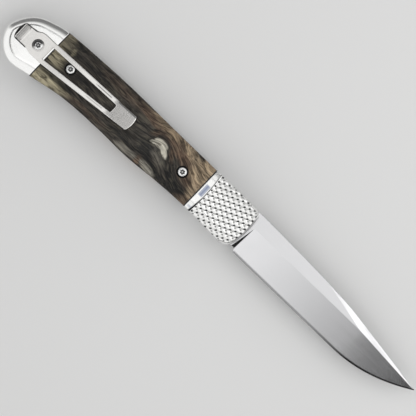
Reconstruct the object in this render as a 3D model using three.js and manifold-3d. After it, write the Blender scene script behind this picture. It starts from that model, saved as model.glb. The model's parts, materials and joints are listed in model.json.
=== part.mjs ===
// Folding pocket knife with horn covers, a spring-opened blade, and a knurled front bolster that turns a few
// degrees to press the lock plunger. It is shown open.
// Sizes are millimetres. While the pieces are drawn the blade's pivot axis is the Z axis, with +X towards the
// tip, +Y towards the spine, +Z towards the clip side, and Z = 0 in the middle of the blade.
import * as THREE from 'three';
import { mergeVertices } from 'three/addons/utils/BufferGeometryUtils.js';
import Module from 'manifold-3d';

const wasm = await Module();
wasm.setup();

// Thicknesses of the stack
const BLADE_THICKNESS = 2.9;
const WASHER_THICKNESS = 0.3;
const LINER_THICKNESS = 1.2;
const COVER_THICKNESS = 2.8;

// Clearances
const RUNNING_GAP = 0.05; // blade face to washer
const BORE_GAP = 0.15; // pin or screw to its hole, all round
const STOP_GAP = 0.3; // tang to lock plunger
const SEAM_GAP = 0.12; // knurled bolster to collar
const POCKET_GAP = 0.25; // clip to its pocket

// Lengths along the handle, measured from the pivot axis
const PIVOT_TO_FRONT = 9.6;
const PIVOT_TO_SEAM = 9.15;
const COLLAR_WIDTH = 2.85;
const LINE_SPACER = 0.4;
const PIVOT_TO_BUTT = 97.9;
const REAR_BOLSTER_LENGTH = 16.9;

// Heights of the handle's outline above and below the pivot axis
const BACK_AT_COLLAR = 9.7;
const BACK_AT_CREST = 10.1;
const BACK_AT_REAR = 9.05;
const BELLY_AT_COLLAR = 6.85;
const BELLY_AT_SWELL = 8.2;
const BELLY_AT_REAR = 11.0;
const BUTT_DROP = 12.2;
const BUTT_TIP_DROP = 2.6; // how far the rearmost point lies below the pivot axis

// Rounding of the covers' outer edges
const ROLL_WIDTH = 4.4;
const ROLL_DEPTH = 1.7;
const ROLL_AT_BUTT = 0.62; // share of that width round the butt
const LIP_WIDTH = 0.65; // smooth chamfer at the front end of the knurled bolsters
const LIP_DEPTH = 1.2;

// Knurl: two sets of V grooves
const KNURL_DEPTH = 0.42;
const KNURL_TOP = 0.5; // share of the pitch that stays flat
const KNURL_SKIM = 0.06; // taken off the tops too
const KNURL_FALLING = { angle: -33.4, pitch: 1.62 };
const KNURL_RISING = { angle: 24.4, pitch: 1.77 };
const KNURL_ORIGIN = [1.4, 2.5]; // where two grooves cross

// Seam of the knurled bolster: an arc of this radius, bowed towards the tip
const SEAM_RADIUS = 58;

// Blade
const PIVOT_TO_TIP = 88.1;
const HEEL_X = 10.4;
const HEEL_DROP = 6.75;
const EDGE_DROP = 7.05; // where the belly starts to rise
const BELLY_START = 58.3;
const TIP_HEIGHT = 1.75;
const SPINE_HEIGHT = 9.4; // above the pivot axis, at the heel
const SPINE_FALL = 0.02; // fall of the spine per millimetre at the heel
const SPINE_BOW = 0.00062; // how much more it falls further on
const POINT_FALL = 0.158; // fall of the clipped spine per millimetre
const SPINE_KNEE = 0.12; // softness of the corner between the two
const GRIND_HEIGHT = 4.2; // top of the main bevel at the plunge
const GRIND_FALL = 0.006;
const SWEDGE_START = 41.8;
const SWEDGE_END = 60.8; // where the swedge meets the main bevel
const SWEDGE_SPINE = 0.4; // half thickness left at the spine
const EDGE_BEVEL = 0.45;
const EDGE_SHOULDER = 0.28; // half thickness where the edge bevel starts
const EDGE_LAND = 0.02; // half thickness of the edge itself
const PLUNGE_TOP = 10.75;
const PLUNGE_BOTTOM = 8.9;
const PLUNGE_RUN = 1.8; // length of the slope down to the middle
const RICASSO_DROP = 5.3;

// Pivot
const BARREL_RADIUS = 2.4;
const PIVOT_SCREW_SHANK = 1.3;
const PIVOT_HEAD_RADIUS = 3.6;
const PIVOT_HEAD_THICKNESS = 1.0;
const WASHER_RADIUS = 5.6;

// Lock plunger, behind and above the pivot. It is also the blade's stop.
const PLUNGER_ANGLE = 125;
const PLUNGER_RADIUS = 1.5;
const PLUNGER_NECK = 1.1;
const TANG_RADIUS = 6.3;
const RELEASE_TURN = 3.5; // degrees that the knurled bolster turns
const PLUNGER_TRAVEL = 0.6;

// Opening spring, wound round the boss of the show-side bolster
const OPENING_WIRE = 0.35; // wire radius
const OPENING_COIL = 4.4; // mean radius
const OPENING_TURNS = 1.4;
const OPENING_PITCH = 1.15;
const OPENING_LEG = 4.2;
const SPRING_WELL_DEPTH = 1.3;

// Plunger spring
const PLUNGER_WIRE = 0.16;
const PLUNGER_COIL = 0.8;
const PLUNGER_TURNS = 3;
const PLUNGER_WELL_DEPTH = 1.0;

// Small screws
const SHANK_RADIUS = 0.95;
const SCREW_HEAD_RADIUS = 1.6;
const SCREW_HEAD_THICKNESS = 0.8;
const COUNTERBORE_RADIUS = 2.15;
const SOCKET_RADIUS = 0.75;
const SOCKET_DEPTH = 0.5;
const SCALE_SCREWS = { front: [-20.45, 1.25], rear: [-72.2, 0.3] };
const CLIP_SCREW = [-85.8, -1.4];

// Screws that reach the knurled bolsters from inside the handle
const RETAINER_SHANK = 0.8;
const RETAINER_HEAD = 1.35;
const RETAINER_HEAD_THICKNESS = 0.5;
const RETAINERS = { front: { angle: 20, reach: 7.0 }, lower: { angle: -150, reach: 7.4 } };

// Back spacer and the pins through it
const SPACER_FRONT = 7.4;
const BLADE_CLEARANCE = 0.4; // closed blade's edge to the back spacer
const PIN_RADIUS = 0.5;
const BUTT_WALL = 6.2; // back spacer left at the butt

// Pocket clip
const CLIP_THICKNESS = 1.2;
const POCKET_DEPTH = 1.3;
const CLIP_STANDOFF = 0.25; // rail to cover at the grip
const CLIP_BOW = 0.6; // how much higher the rails stand midway
const CLIP_FLARE = 1.2; // how far the free end lifts
const CLIP_FOOT_REAR = -93.4;
const CLIP_BEND = -91.6; // where the foot starts to rise
const CLIP_FOOT_FRONT = -88.8; // where it comes up onto the cover's face
const CLIP_SLOT_REAR = -81.5;
const CLIP_SLOT_FRONT = -52.3;
const CLIP_TIP = -43.8;
const CLIP_FOOT_BELOW = 4.85;
const CLIP_FOOT_ABOVE = 1.45;
const CLIP_REAR_BELOW = 5.45;
const CLIP_REAR_ABOVE = 3.25;
const CLIP_TIP_BELOW = 1.85;
const CLIP_TIP_ABOVE = 4.05;
const CLIP_RAIL = 1.7;

// Levels of the stack above the blade's middle
const BLADE_FACE = BLADE_THICKNESS / 2;
const LINER_INNER = BLADE_FACE + RUNNING_GAP + WASHER_THICKNESS;
const LINER_OUTER = LINER_INNER + LINER_THICKNESS;
const COVER_FACE = LINER_OUTER + COVER_THICKNESS;

// Places along the handle
const COLLAR_REAR = -PIVOT_TO_SEAM - COLLAR_WIDTH;
const HORN_FRONT = COLLAR_REAR - LINE_SPACER;
const REAR_BOLSTER_FRONT = REAR_BOLSTER_LENGTH - PIVOT_TO_BUTT;
const HORN_REAR = REAR_BOLSTER_FRONT + LINE_SPACER;

const FAR = 60; // reach of cutters past the part
const ROUND = 20; // sides of round pieces

const radians = THREE.MathUtils.degToRad;
const polar = (angle, reach) => [reach * Math.cos(radians(angle)), reach * Math.sin(radians(angle))];
const PLUNGER_REACH = TANG_RADIUS + STOP_GAP + PLUNGER_RADIUS;
const PLUNGER = polar(PLUNGER_ANGLE, PLUNGER_REACH);

// Turns a closed three.js geometry into a solid.
function solid(geometry) {
  const bare = geometry.clone();
  bare.deleteAttribute('normal');
  bare.deleteAttribute('uv');
  const merged = mergeVertices(bare, 1e-4);
  return new wasm.Manifold(new wasm.Mesh({
    numProp: 3,
    vertProperties: Float32Array.from(merged.attributes.position.array),
    triVerts: Uint32Array.from(merged.index.array),
  }));
}

function geometryOf(body) {
  const mesh = body.getMesh();
  const geometry = new THREE.BufferGeometry();
  const positions = new Float32Array(mesh.numVert * 3);
  for (let i = 0; i < mesh.numVert; i += 1) {
    const start = i * mesh.numProp;
    positions.set(mesh.vertProperties.subarray(start, start + 3), i * 3);
  }
  geometry.setAttribute('position', new THREE.BufferAttribute(positions, 3));
  geometry.setIndex(new THREE.BufferAttribute(Uint32Array.from(mesh.triVerts), 1));
  return geometry;
}

// Turns a geometry over to the other side of the blade's middle plane, with its faces still outwards.
function flipped(geometry) {
  const turned = geometry.clone().scale(1, 1, -1);
  const index = turned.index ? turned.index.array : null;
  if (!index) {
    return flipped(mergeVertices(turned.deleteAttribute('normal').deleteAttribute('uv'), 1e-4).scale(1, 1, -1));
  }
  for (let i = 0; i < index.length; i += 3) {
    [index[i + 1], index[i + 2]] = [index[i + 2], index[i + 1]];
  }
  return turned;
}

const otherSide = (body) => solid(flipped(geometryOf(body)));

// A straight prism of a flat outline between two levels.
function prism(points, low, high) {
  const shape = points instanceof THREE.Shape ? points : new THREE.Shape(points.map(([x, y]) => new THREE.Vector2(x, y)));
  const geometry = new THREE.ExtrudeGeometry(shape, { depth: high - low, bevelEnabled: false, curveSegments: 10 });
  return solid(geometry.translate(0, 0, low));
}

function rod([x, y], radius, low, high, sides = ROUND) {
  const geometry = new THREE.CylinderGeometry(radius, radius, high - low, sides);
  return solid(geometry.rotateX(Math.PI / 2).translate(x, y, (low + high) / 2));
}

// A turned piece: profile points are [radius, level], from the axis at the bottom to the axis at the top.
function turned([x, y], profile, sides = ROUND) {
  const geometry = new THREE.LatheGeometry(profile.map(([r, z]) => new THREE.Vector2(r, z)), sides);
  return solid(geometry.rotateX(Math.PI / 2).translate(x, y, 0));
}

// A slab between two places along the knife, used to part the covers.
const between = (rear, front) => prism([[rear, -FAR], [front, -FAR], [front, FAR], [rear, FAR]], -FAR, FAR);

// Joins rings of equal length, each a list of [x, y, z], into one closed body.
function loft(rings, capOf) {
  const count = rings[0].length;
  const index = [];
  for (let ring = 0; ring + 1 < rings.length; ring += 1) {
    for (let i = 0; i < count; i += 1) {
      const a = ring * count + i;
      const b = ring * count + ((i + 1) % count);
      index.push(a, b, b + count, a, b + count, a + count);
    }
  }
  const last = (rings.length - 1) * count;
  for (const [a, b, c] of capOf(rings[0])) index.push(a, c, b);
  for (const [a, b, c] of capOf(rings[rings.length - 1])) index.push(last + a, last + b, last + c);
  const geometry = new THREE.BufferGeometry();
  geometry.setAttribute('position', new THREE.Float32BufferAttribute(rings.flat(2), 3));
  geometry.setIndex(index);
  return solid(geometry);
}

// Closes a long ring from its front end to its rear, going from one side to the other.
function stripCap(ring) {
  const triangles = [];
  let back = 0;
  let belly = ring.length - 1;
  while (belly - back > 1) {
    if (ring[back + 1][0] > ring[belly - 1][0]) {
      triangles.push([back, back + 1, belly]);
      back += 1;
    } else {
      triangles.push([back, belly - 1, belly]);
      belly -= 1;
    }
  }
  return triangles;
}

const fanCap = (ring) => ring.slice(2).map((_, i) => [0, i + 1, i + 2]);

// Samples a flat curve more closely where it bends.
function trace(curve, turn = 7, step = 9) {
  const fine = curve.getSpacedPoints(800);
  const kept = [fine[0]];
  const heading = (i) => Math.atan2(fine[i + 1].y - fine[i].y, fine[i + 1].x - fine[i].x);
  let last = heading(0);
  for (let i = 1; i < fine.length - 1; i += 1) {
    const bend = Math.abs(Math.atan2(Math.sin(heading(i) - last), Math.cos(heading(i) - last)));
    if (bend > radians(turn) || fine[i].distanceTo(kept[kept.length - 1]) > step) {
      kept.push(fine[i]);
      last = heading(i);
    }
  }
  kept.push(fine[fine.length - 1]);
  return kept;
}

const splineThrough = (points) => new THREE.SplineCurve(points.map(([x, y]) => new THREE.Vector2(x, y)));
const mix = THREE.MathUtils.lerp;

// The handle from the top of the front bolster back along the spine side, round the butt and along the belly.
function sideCurve() {
  const horn = (share) => mix(COLLAR_REAR, REAR_BOLSTER_FRONT, share);
  const butt = -PIVOT_TO_BUTT;
  return splineThrough([
    [PIVOT_TO_FRONT - 4.6, BACK_AT_COLLAR - 0.15],
    [COLLAR_REAR, BACK_AT_COLLAR],
    [horn(0.28), mix(BACK_AT_COLLAR, BACK_AT_CREST, 0.4)],
    [horn(0.58), BACK_AT_CREST],
    [horn(0.8), mix(BACK_AT_CREST, BACK_AT_REAR, 0.33)],
    [REAR_BOLSTER_FRONT, BACK_AT_REAR],
    [butt + 11.2, BACK_AT_REAR - 1.15],
    [butt + 6.0, BACK_AT_REAR - 3.15],
    [butt + 2.2, BACK_AT_REAR - 6.8],
    [butt, -BUTT_TIP_DROP],
    [butt + 0.9, -BUTT_TIP_DROP - 4.2],
    [butt + 3.6, -BUTT_TIP_DROP - 7.5],
    [butt + 7.2, -BUTT_DROP + 0.25],
    [butt + 10.4, -BUTT_DROP],
    [REAR_BOLSTER_FRONT, -BELLY_AT_REAR],
    [horn(0.8), -mix(BELLY_AT_REAR, BELLY_AT_SWELL, 0.84)],
    [horn(0.58), -BELLY_AT_SWELL + 0.15],
    [horn(0.38), -BELLY_AT_SWELL],
    [horn(0.17), -mix(BELLY_AT_SWELL, BELLY_AT_COLLAR, 0.75)],
    [COLLAR_REAR, -BELLY_AT_COLLAR],
    [-1.2, -BELLY_AT_COLLAR - 0.3],
    [PIVOT_TO_FRONT - 4.4, -BELLY_AT_COLLAR - 0.45],
  ]);
}

// The front end of the bolsters, from the belly up to the back.
function frontCurve() {
  const side = sideCurve().points;
  const [top, low] = [side[0], side[side.length - 1]];
  return splineThrough([
    [low.x, low.y],
    [PIVOT_TO_FRONT - 2.2, low.y + 0.9],
    [PIVOT_TO_FRONT - 0.9, -RICASSO_DROP + 0.7],
    [PIVOT_TO_FRONT - 0.2, -1.2],
    [PIVOT_TO_FRONT, 2.4],
    [PIVOT_TO_FRONT - 0.15, top.y - 4.0],
    [PIVOT_TO_FRONT - 0.75, top.y - 1.2],
    [PIVOT_TO_FRONT - 2.2, top.y - 0.15],
    [top.x, top.y],
  ]);
}

const SIDE = trace(sideCurve());
const OUTLINE = [...SIDE, ...trace(frontCurve(), 12).slice(1, -1)].map((p) => [p.x, p.y]);

// Points of a line moved to its left by a distance.
function inset(points, distance) {
  return points.map(([x, y], i) => {
    const [ax, ay] = points[Math.max(i - 1, 0)];
    const [bx, by] = points[Math.min(i + 1, points.length - 1)];
    const length = Math.hypot(bx - ax, by - ay);
    return [x - ((by - ay) / length) * distance, y + ((bx - ax) / length) * distance];
  });
}

// Level of the rounded cover face above the liner, a distance in from the outline.
function rollLevel(distance) {
  const share = THREE.MathUtils.clamp(1 - distance / ROLL_WIDTH, 0, 1);
  return COVER_THICKNESS - ROLL_DEPTH * share ** 2;
}

// Everything under the rounded outer face, drawn past the front end.
function rolledBody() {
  const front = [[FAR, SIDE[0].y], ...SIDE.map((p) => [p.x, p.y]), [FAR, SIDE[SIDE.length - 1].y]];
  const steps = [0, 0.08, 0.22, 0.42, 0.68, 1].map((share) => share * ROLL_WIDTH);
  const rings = [front.map(([x, y]) => [x, y, LINER_OUTER])];
  const share = (x) => mix(ROLL_AT_BUTT, 1, THREE.MathUtils.clamp((x + PIVOT_TO_BUTT) / REAR_BOLSTER_LENGTH, 0, 1));
  for (const step of steps) {
    const moved = inset(front, step).map(([x, y], i) => [
      mix(front[i][0], x, share(front[i][0])),
      mix(front[i][1], y, share(front[i][0])),
      LINER_OUTER + rollLevel(step),
    ]);
    rings.push(moved);
  }
  return loft(rings, stripCap);
}

// The front end's outline, with its chamfered lip.
function lippedBody() {
  const closed = [OUTLINE[OUTLINE.length - 1], ...OUTLINE, OUTLINE[0]];
  const ring = (distance, level) => inset(closed, distance).slice(1, -1).map(([x, y]) => [x, y, level]);
  return loft([
    ring(0, LINER_OUTER),
    ring(0, COVER_FACE - LIP_DEPTH),
    ring(LIP_WIDTH, COVER_FACE),
  ], stripCap);
}

const COVER = rolledBody().intersect(lippedBody());

// The part of the knife in front of the seam, turned about the pivot and grown by a gap.
function aheadOfSeam(turn, gap) {
  const centre = -PIVOT_TO_SEAM - SEAM_RADIUS;
  const radius = SEAM_RADIUS - gap;
  const points = [];
  for (let i = 0; i <= 14; i += 1) {
    const y = mix(14, -14, i / 14);
    points.push([centre + Math.sqrt(radius ** 2 - y ** 2), y]);
  }
  points.push([FAR, -14], [FAR, 14]);
  const shape = new THREE.Shape(points.map(([x, y]) => new THREE.Vector2(x, y).rotateAround(new THREE.Vector2(), -radians(turn))));
  return prism(shape, -FAR, FAR);
}

// Distance in from the handle's side outline, negative outside it.
function depthInside(x, y) {
  let best = Infinity;
  let sign = 1;
  const line = [[FAR, SIDE[0].y], ...SIDE.map((p) => [p.x, p.y]), [FAR, SIDE[SIDE.length - 1].y]];
  for (let i = 0; i + 1 < line.length; i += 1) {
    const [ax, ay] = line[i];
    const [bx, by] = line[i + 1];
    const [ux, uy] = [bx - ax, by - ay];
    const share = THREE.MathUtils.clamp(((x - ax) * ux + (y - ay) * uy) / (ux ** 2 + uy ** 2), 0, 1);
    const away = Math.hypot(x - ax - share * ux, y - ay - share * uy);
    if (away < best) {
      best = away;
      sign = ux * (y - ay) - uy * (x - ax) > 0 ? 1 : -1;
    }
  }
  return best * sign;
}

// Everything above the knurled face. Each cell between grooves is a pyramid with a flat top.
function aboveKnurl() {
  const unit = (angle) => [Math.cos(radians(angle)), Math.sin(radians(angle))];
  const [falling, rising] = [unit(KNURL_FALLING.angle), unit(KNURL_RISING.angle)];
  const cross = falling[0] * rising[1] - falling[1] * rising[0];
  const along = KNURL_RISING.pitch / cross;
  const across = KNURL_FALLING.pitch / cross;
  const place = (i, j) => [
    KNURL_ORIGIN[0] + falling[0] * along * i + rising[0] * across * j,
    KNURL_ORIGIN[1] + falling[1] * along * i + rising[1] * across * j,
  ];
  const level = ([x, y], drop) => {
    const inside = depthInside(x, y);
    const wall = inside < 0 ? inside * ((2 * ROLL_DEPTH) / ROLL_WIDTH) : 0;
    return Math.max(LINER_OUTER + rollLevel(Math.max(inside, 0)) + wall - drop, LINER_OUTER - LINER_THICKNESS / 2);
  };
  const [first, last] = [-12, 12];
  const margin = (1 - KNURL_TOP) / 2;
  const triangles = [];
  const quad = (a, b, c, d) => triangles.push(a, b, c, a, c, d);
  for (let i = first; i < last; i += 1) {
    for (let j = first; j < last; j += 1) {
      const corner = ([di, dj]) => {
        const [x, y] = place(i + di, j + dj);
        return [x, y, level([x, y], KNURL_DEPTH)];
      };
      const top = ([di, dj]) => {
        const [x, y] = place(i + mix(margin, 1 - margin, di), j + mix(margin, 1 - margin, dj));
        return [x, y, level([x, y], KNURL_SKIM)];
      };
      const ends = [[0, 0], [1, 0], [1, 1], [0, 1]];
      const low = ends.map(corner);
      const high = ends.map(top);
      quad(high[3], high[2], high[1], high[0]);
      for (let k = 0; k < 4; k += 1) {
        const next = (k + 1) % 4;
        quad(low[next], low[k], high[k], high[next]);
      }
    }
  }
  const ceiling = COVER_FACE + 4;
  const lifted = ([x, y]) => [x, y, ceiling];
  const edge = [];
  for (let i = first; i < last; i += 1) edge.push([i, first]);
  for (let j = first; j < last; j += 1) edge.push([last, j]);
  for (let i = last; i > first; i -= 1) edge.push([i, last]);
  for (let j = last; j > first; j -= 1) edge.push([first, j]);
  const rim = edge.map(([i, j]) => {
    const [x, y] = place(i, j);
    return [x, y, level([x, y], KNURL_DEPTH)];
  });
  const middle = [...place(0, 0), ceiling];
  for (let k = 0; k < rim.length; k += 1) {
    const next = (k + 1) % rim.length;
    quad(rim[k], rim[next], lifted(rim[next]), lifted(rim[k]));
    triangles.push(lifted(rim[k]), lifted(rim[next]), middle);
  }
  const geometry = new THREE.BufferGeometry();
  geometry.setAttribute('position', new THREE.Float32BufferAttribute(triangles.flat(), 3));
  return solid(mergeVertices(geometry, 1e-4));
}

// A knurled bolster on the clip side, from a level up to its face.
function knurledBlank(low) {
  const shifted = prism(OUTLINE.map(([x, y]) => [x - LIP_WIDTH, y]), LINER_INNER, FAR);
  return COVER
    .intersect(aheadOfSeam(0, 0))
    .subtract(aboveKnurl().intersect(shifted))
    .subtract(prism([[-FAR, -FAR], [FAR, -FAR], [FAR, FAR], [-FAR, FAR]], LINER_OUTER - 1, low));
}

// A screw with a round head and a six-lobed socket, its head up.
function screw(place, { head, thickness, shank, seat, tip, socket = SOCKET_RADIUS }) {
  const bevel = thickness * 0.25;
  const body = turned(place, [
    [0, tip], [shank - 0.2, tip], [shank, tip + 0.3], [shank, seat],
    [head, seat], [head, seat + thickness - bevel], [head - bevel, seat + thickness], [0, seat + thickness],
  ]);
  return body.subtract(sixLobes(place, socket, seat + thickness - SOCKET_DEPTH, seat + thickness + 1));
}

function sixLobes([x, y], radius, low, high) {
  const points = [];
  for (let i = 0; i < 12; i += 1) {
    const angle = (i / 12) * 2 * Math.PI;
    const reach = i % 2 ? radius * 0.74 : radius;
    points.push([x + reach * Math.cos(angle), y + reach * Math.sin(angle)]);
  }
  return prism(points, low, high);
}

// A round hole drawn out along the swing of the knurled bolster.
function swingHole({ angle, reach }, radius, low, high, turn) {
  let hole = rod(polar(angle, reach), radius, low, high, 14);
  if (!turn) return hole;
  for (const share of [0.5, 1]) {
    hole = hole.add(rod(polar(angle - turn * share, reach), radius, low, high, 14));
  }
  return hole;
}

const meshes = [];
const group = new THREE.Group();

const metal = (color, roughness) => new THREE.MeshStandardMaterial({ color, roughness, metalness: 1 });
const dull = (color, roughness) => new THREE.MeshStandardMaterial({ color, roughness, metalness: 0 });
const MATERIALS = {
  bladeSteel: metal(0xc9c9cc, 0.32),
  bolsterSteel: metal(0xdcdcda, 0.28),
  linerSteel: metal(0xb4b4b6, 0.4),
  clipSteel: metal(0xd2d1cd, 0.35),
  springSteel: metal(0x8d8f94, 0.45),
  bronze: metal(0xb08a4e, 0.4),
  horn: dull(0x4a3f35, 0.45),
  spacer: dull(0x111110, 0.6),
};

function add(name, body, material) {
  const mesh = new THREE.Mesh(geometryOf(body), MATERIALS[material]);
  mesh.geometry.computeVertexNormals();
  mesh.name = name;
  meshes.push(mesh);
  group.add(mesh);
}

// Covers: the same cuts part both sides.
function addCovers() {
  const seam = aheadOfSeam(0, SEAM_GAP).add(aheadOfSeam(RELEASE_TURN, SEAM_GAP));
  const still = aheadOfSeam(0, SEAM_GAP);
  const scale = COVER.intersect(between(HORN_REAR, HORN_FRONT));
  const shankHole = (place) => rod(place, SHANK_RADIUS + BORE_GAP, 0, FAR);
  const drilled = Object.values(SCALE_SCREWS).reduce((body, place) => body
    .subtract(shankHole(place))
    .subtract(rod(place, COUNTERBORE_RADIUS, SCREW_SEAT, FAR)), scale);
  const rearSpacer = COVER.intersect(between(REAR_BOLSTER_FRONT, HORN_REAR));
  const frontSpacer = COVER.intersect(between(HORN_FRONT, COLLAR_REAR));
  const collar = COVER.intersect(between(COLLAR_REAR, 0));
  const rear = COVER.intersect(between(-FAR * 2, REAR_BOLSTER_FRONT))
    .subtract(rod(BUTT_PIN, PIN_RADIUS + BORE_GAP, 0, LINER_OUTER + BUTT_PIN_BITE));
  const clipSideRear = rear.subtract(clipPocket()).subtract(shankHole(CLIP_SCREW));

  add('scale_clip_side', drilled, 'horn');
  add('scale_show_side', otherSide(drilled), 'horn');
  add('rear_bolster_clip_side', clipSideRear, 'bolsterSteel');
  add('rear_bolster_show_side', otherSide(rear), 'bolsterSteel');
  add('rear_line_spacer_clip_side', rearSpacer, 'spacer');
  add('rear_line_spacer_show_side', otherSide(rearSpacer), 'spacer');
  add('front_line_spacer_clip_side', frontSpacer, 'spacer');
  add('front_line_spacer_show_side', otherSide(frontSpacer), 'spacer');
  add('collar_clip_side', collar.subtract(seam), 'bolsterSteel');
  add('collar_show_side', otherSide(collar.subtract(still)), 'bolsterSteel');
}

// Screw heads sit on this level in the scales.
const SCREW_SEAT = COVER_FACE - 0.3 - SCREW_HEAD_THICKNESS;

// Pins: two through the spacer's spine side, one through the butt and into both rear bolsters.
const BUTT_PIN = [-PIVOT_TO_BUTT + BUTT_WALL / 2, -BUTT_TIP_DROP - 1.4];
const BUTT_PIN_BITE = 1.4;
const backHeight = (x) => {
  const above = SIDE.findIndex((p) => p.x < x);
  const [a, b] = [SIDE[above - 1], SIDE[above]];
  return mix(a.y, b.y, (x - a.x) / (b.x - a.x));
};
const spacerPin = (x) => [x, (backHeight(x) + EDGE_DROP + BLADE_CLEARANCE) / 2];
const FRONT_PIN = spacerPin(COLLAR_REAR - 3);
const MIDDLE_PIN = spacerPin(mix(COLLAR_REAR, REAR_BOLSTER_FRONT, 0.62));

// Height of the closed blade's edge side, seen from the pivot, where the back spacer ends.
function addBackSpacer() {
  const edge = EDGE_DROP + BLADE_CLEARANCE;
  const butt = -PIVOT_TO_BUTT + BUTT_WALL;
  const room = new THREE.Shape();
  room.moveTo(FAR, edge);
  room.lineTo(-BELLY_START - 8, edge);
  room.quadraticCurveTo(-PIVOT_TO_TIP + 8, edge - 1.2, butt + 1.6, 2.2);
  room.quadraticCurveTo(butt, 0, butt, -BUTT_TIP_DROP - 2);
  room.lineTo(butt, -FAR);
  room.lineTo(FAR, -FAR);
  const body = prism(OUTLINE, -LINER_INNER, LINER_INNER)
    .subtract(prism(room, -FAR, FAR))
    .subtract(between(-SPACER_FRONT, FAR))
    .subtract(rod(FRONT_PIN, PIN_RADIUS + BORE_GAP, -FAR, FAR))
    .subtract(rod(MIDDLE_PIN, PIN_RADIUS + BORE_GAP, -FAR, FAR))
    .subtract(rod(BUTT_PIN, PIN_RADIUS + BORE_GAP, -FAR, FAR));
  add('back_spacer', body, 'linerSteel');
  const pin = (place, reach) => rod(place, PIN_RADIUS, -reach, reach, 12);
  add('frame_pin_front', pin(FRONT_PIN, LINER_OUTER), 'linerSteel');
  add('frame_pin_middle', pin(MIDDLE_PIN, LINER_OUTER), 'linerSteel');
  add('frame_pin_butt', pin(BUTT_PIN, LINER_OUTER + BUTT_PIN_BITE), 'linerSteel');
}

function addLiners() {
  const pins = [FRONT_PIN, MIDDLE_PIN, BUTT_PIN];
  let plain = prism(OUTLINE, LINER_INNER, LINER_OUTER);
  for (const place of pins) plain = plain.subtract(rod(place, PIN_RADIUS + BORE_GAP, 0, FAR));
  for (const place of Object.values(SCALE_SCREWS)) {
    plain = plain.subtract(rod(place, SHANK_RADIUS + BORE_GAP, 0, FAR));
  }
  const headRoom = LINER_INNER + RETAINER_HEAD_THICKNESS + RUNNING_GAP;
  const retainerHoles = (turn) => Object.values(RETAINERS).map((at) => swingHole(at, RETAINER_SHANK + BORE_GAP, 0, FAR, turn)
    .add(swingHole(at, RETAINER_HEAD + BORE_GAP, 0, headRoom, turn)));
  let clipSide = plain
    .subtract(rod([0, 0], BARREL_RADIUS + BORE_GAP, 0, FAR))
    .subtract(rod(PLUNGER, PLUNGER_NECK + BORE_GAP, 0, FAR))
    .subtract(rod(CLIP_SCREW, SHANK_RADIUS + BORE_GAP, 0, FAR));
  for (const hole of retainerHoles(RELEASE_TURN)) clipSide = clipSide.subtract(hole);
  let showSide = plain
    .subtract(rod([0, 0], SPRING_WELL + BORE_GAP, 0, FAR))
    .subtract(rod(PLUNGER, PLUNGER_RADIUS + BORE_GAP, 0, FAR));
  for (const hole of retainerHoles(0)) showSide = showSide.subtract(hole);
  add('liner_clip_side', clipSide, 'linerSteel');
  add('liner_show_side', otherSide(showSide), 'linerSteel');
}

// Spring well in the show-side bolster
const SPRING_BOSS = OPENING_COIL - OPENING_WIRE - 0.45;
const SPRING_WELL = OPENING_COIL + OPENING_WIRE + 0.45;
const SPRING_FLOOR = LINER_OUTER + SPRING_WELL_DEPTH;
const PLUNGER_FLOOR = LINER_OUTER + PLUNGER_WELL_DEPTH;
const LEG_ANGLE = 205; // where the opening spring's still leg leaves the coil

// The opening spring's centre line, drawn from its still leg up to the leg in the tang.
function openingSpringPath() {
  const start = -SPRING_FLOOR + OPENING_WIRE + 0.05;
  const points = [];
  const at = (angle, z) => new THREE.Vector3(...polar(angle, OPENING_COIL), z);
  const first = at(LEG_ANGLE, start);
  const back = new THREE.Vector3(...polar(LEG_ANGLE - 90, 1), 0);
  for (const reach of [OPENING_LEG, OPENING_LEG * 0.6, OPENING_LEG * 0.25]) {
    points.push(first.clone().addScaledVector(back, reach));
  }
  const steps = Math.round(OPENING_TURNS * 12);
  for (let i = 0; i <= steps; i += 1) {
    const turns = (i / steps) * OPENING_TURNS;
    points.push(at(LEG_ANGLE + 360 * turns, start + turns * OPENING_PITCH));
  }
  const end = points[points.length - 1];
  const on = new THREE.Vector3(...polar(LEG_ANGLE + 360 * OPENING_TURNS + 90, 1), 0);
  const up = new THREE.Vector3(0, 0, 1);
  for (const [forward, lift] of [[0.45, 0.12], [0.72, 0.45], [0.78, 0.95], [0.78, 1.6]]) {
    points.push(end.clone().addScaledVector(on, forward).addScaledVector(up, lift));
  }
  return new THREE.CatmullRomCurve3(points);
}

function wire(path, radius, steps, sides) {
  const section = new THREE.Shape();
  for (let i = 0; i < sides; i += 1) {
    const [x, y] = polar((i / sides) * 360, radius);
    if (i) section.lineTo(x, y);
    else section.moveTo(x, y);
  }
  return solid(new THREE.ExtrudeGeometry(section, { steps, extrudePath: path, bevelEnabled: false }));
}

// Least distance between stretches of a wire that are at least a third of a turn apart, less the wire itself.
function leastGap(path, radius, steps, apart) {
  const points = path.getSpacedPoints(steps);
  let least = Infinity;
  for (let i = 0; i < points.length; i += 1) {
    for (let j = i + apart; j < points.length; j += 1) {
      least = Math.min(least, points[i].distanceTo(points[j]) - 2 * radius);
    }
  }
  return least;
}

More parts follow.
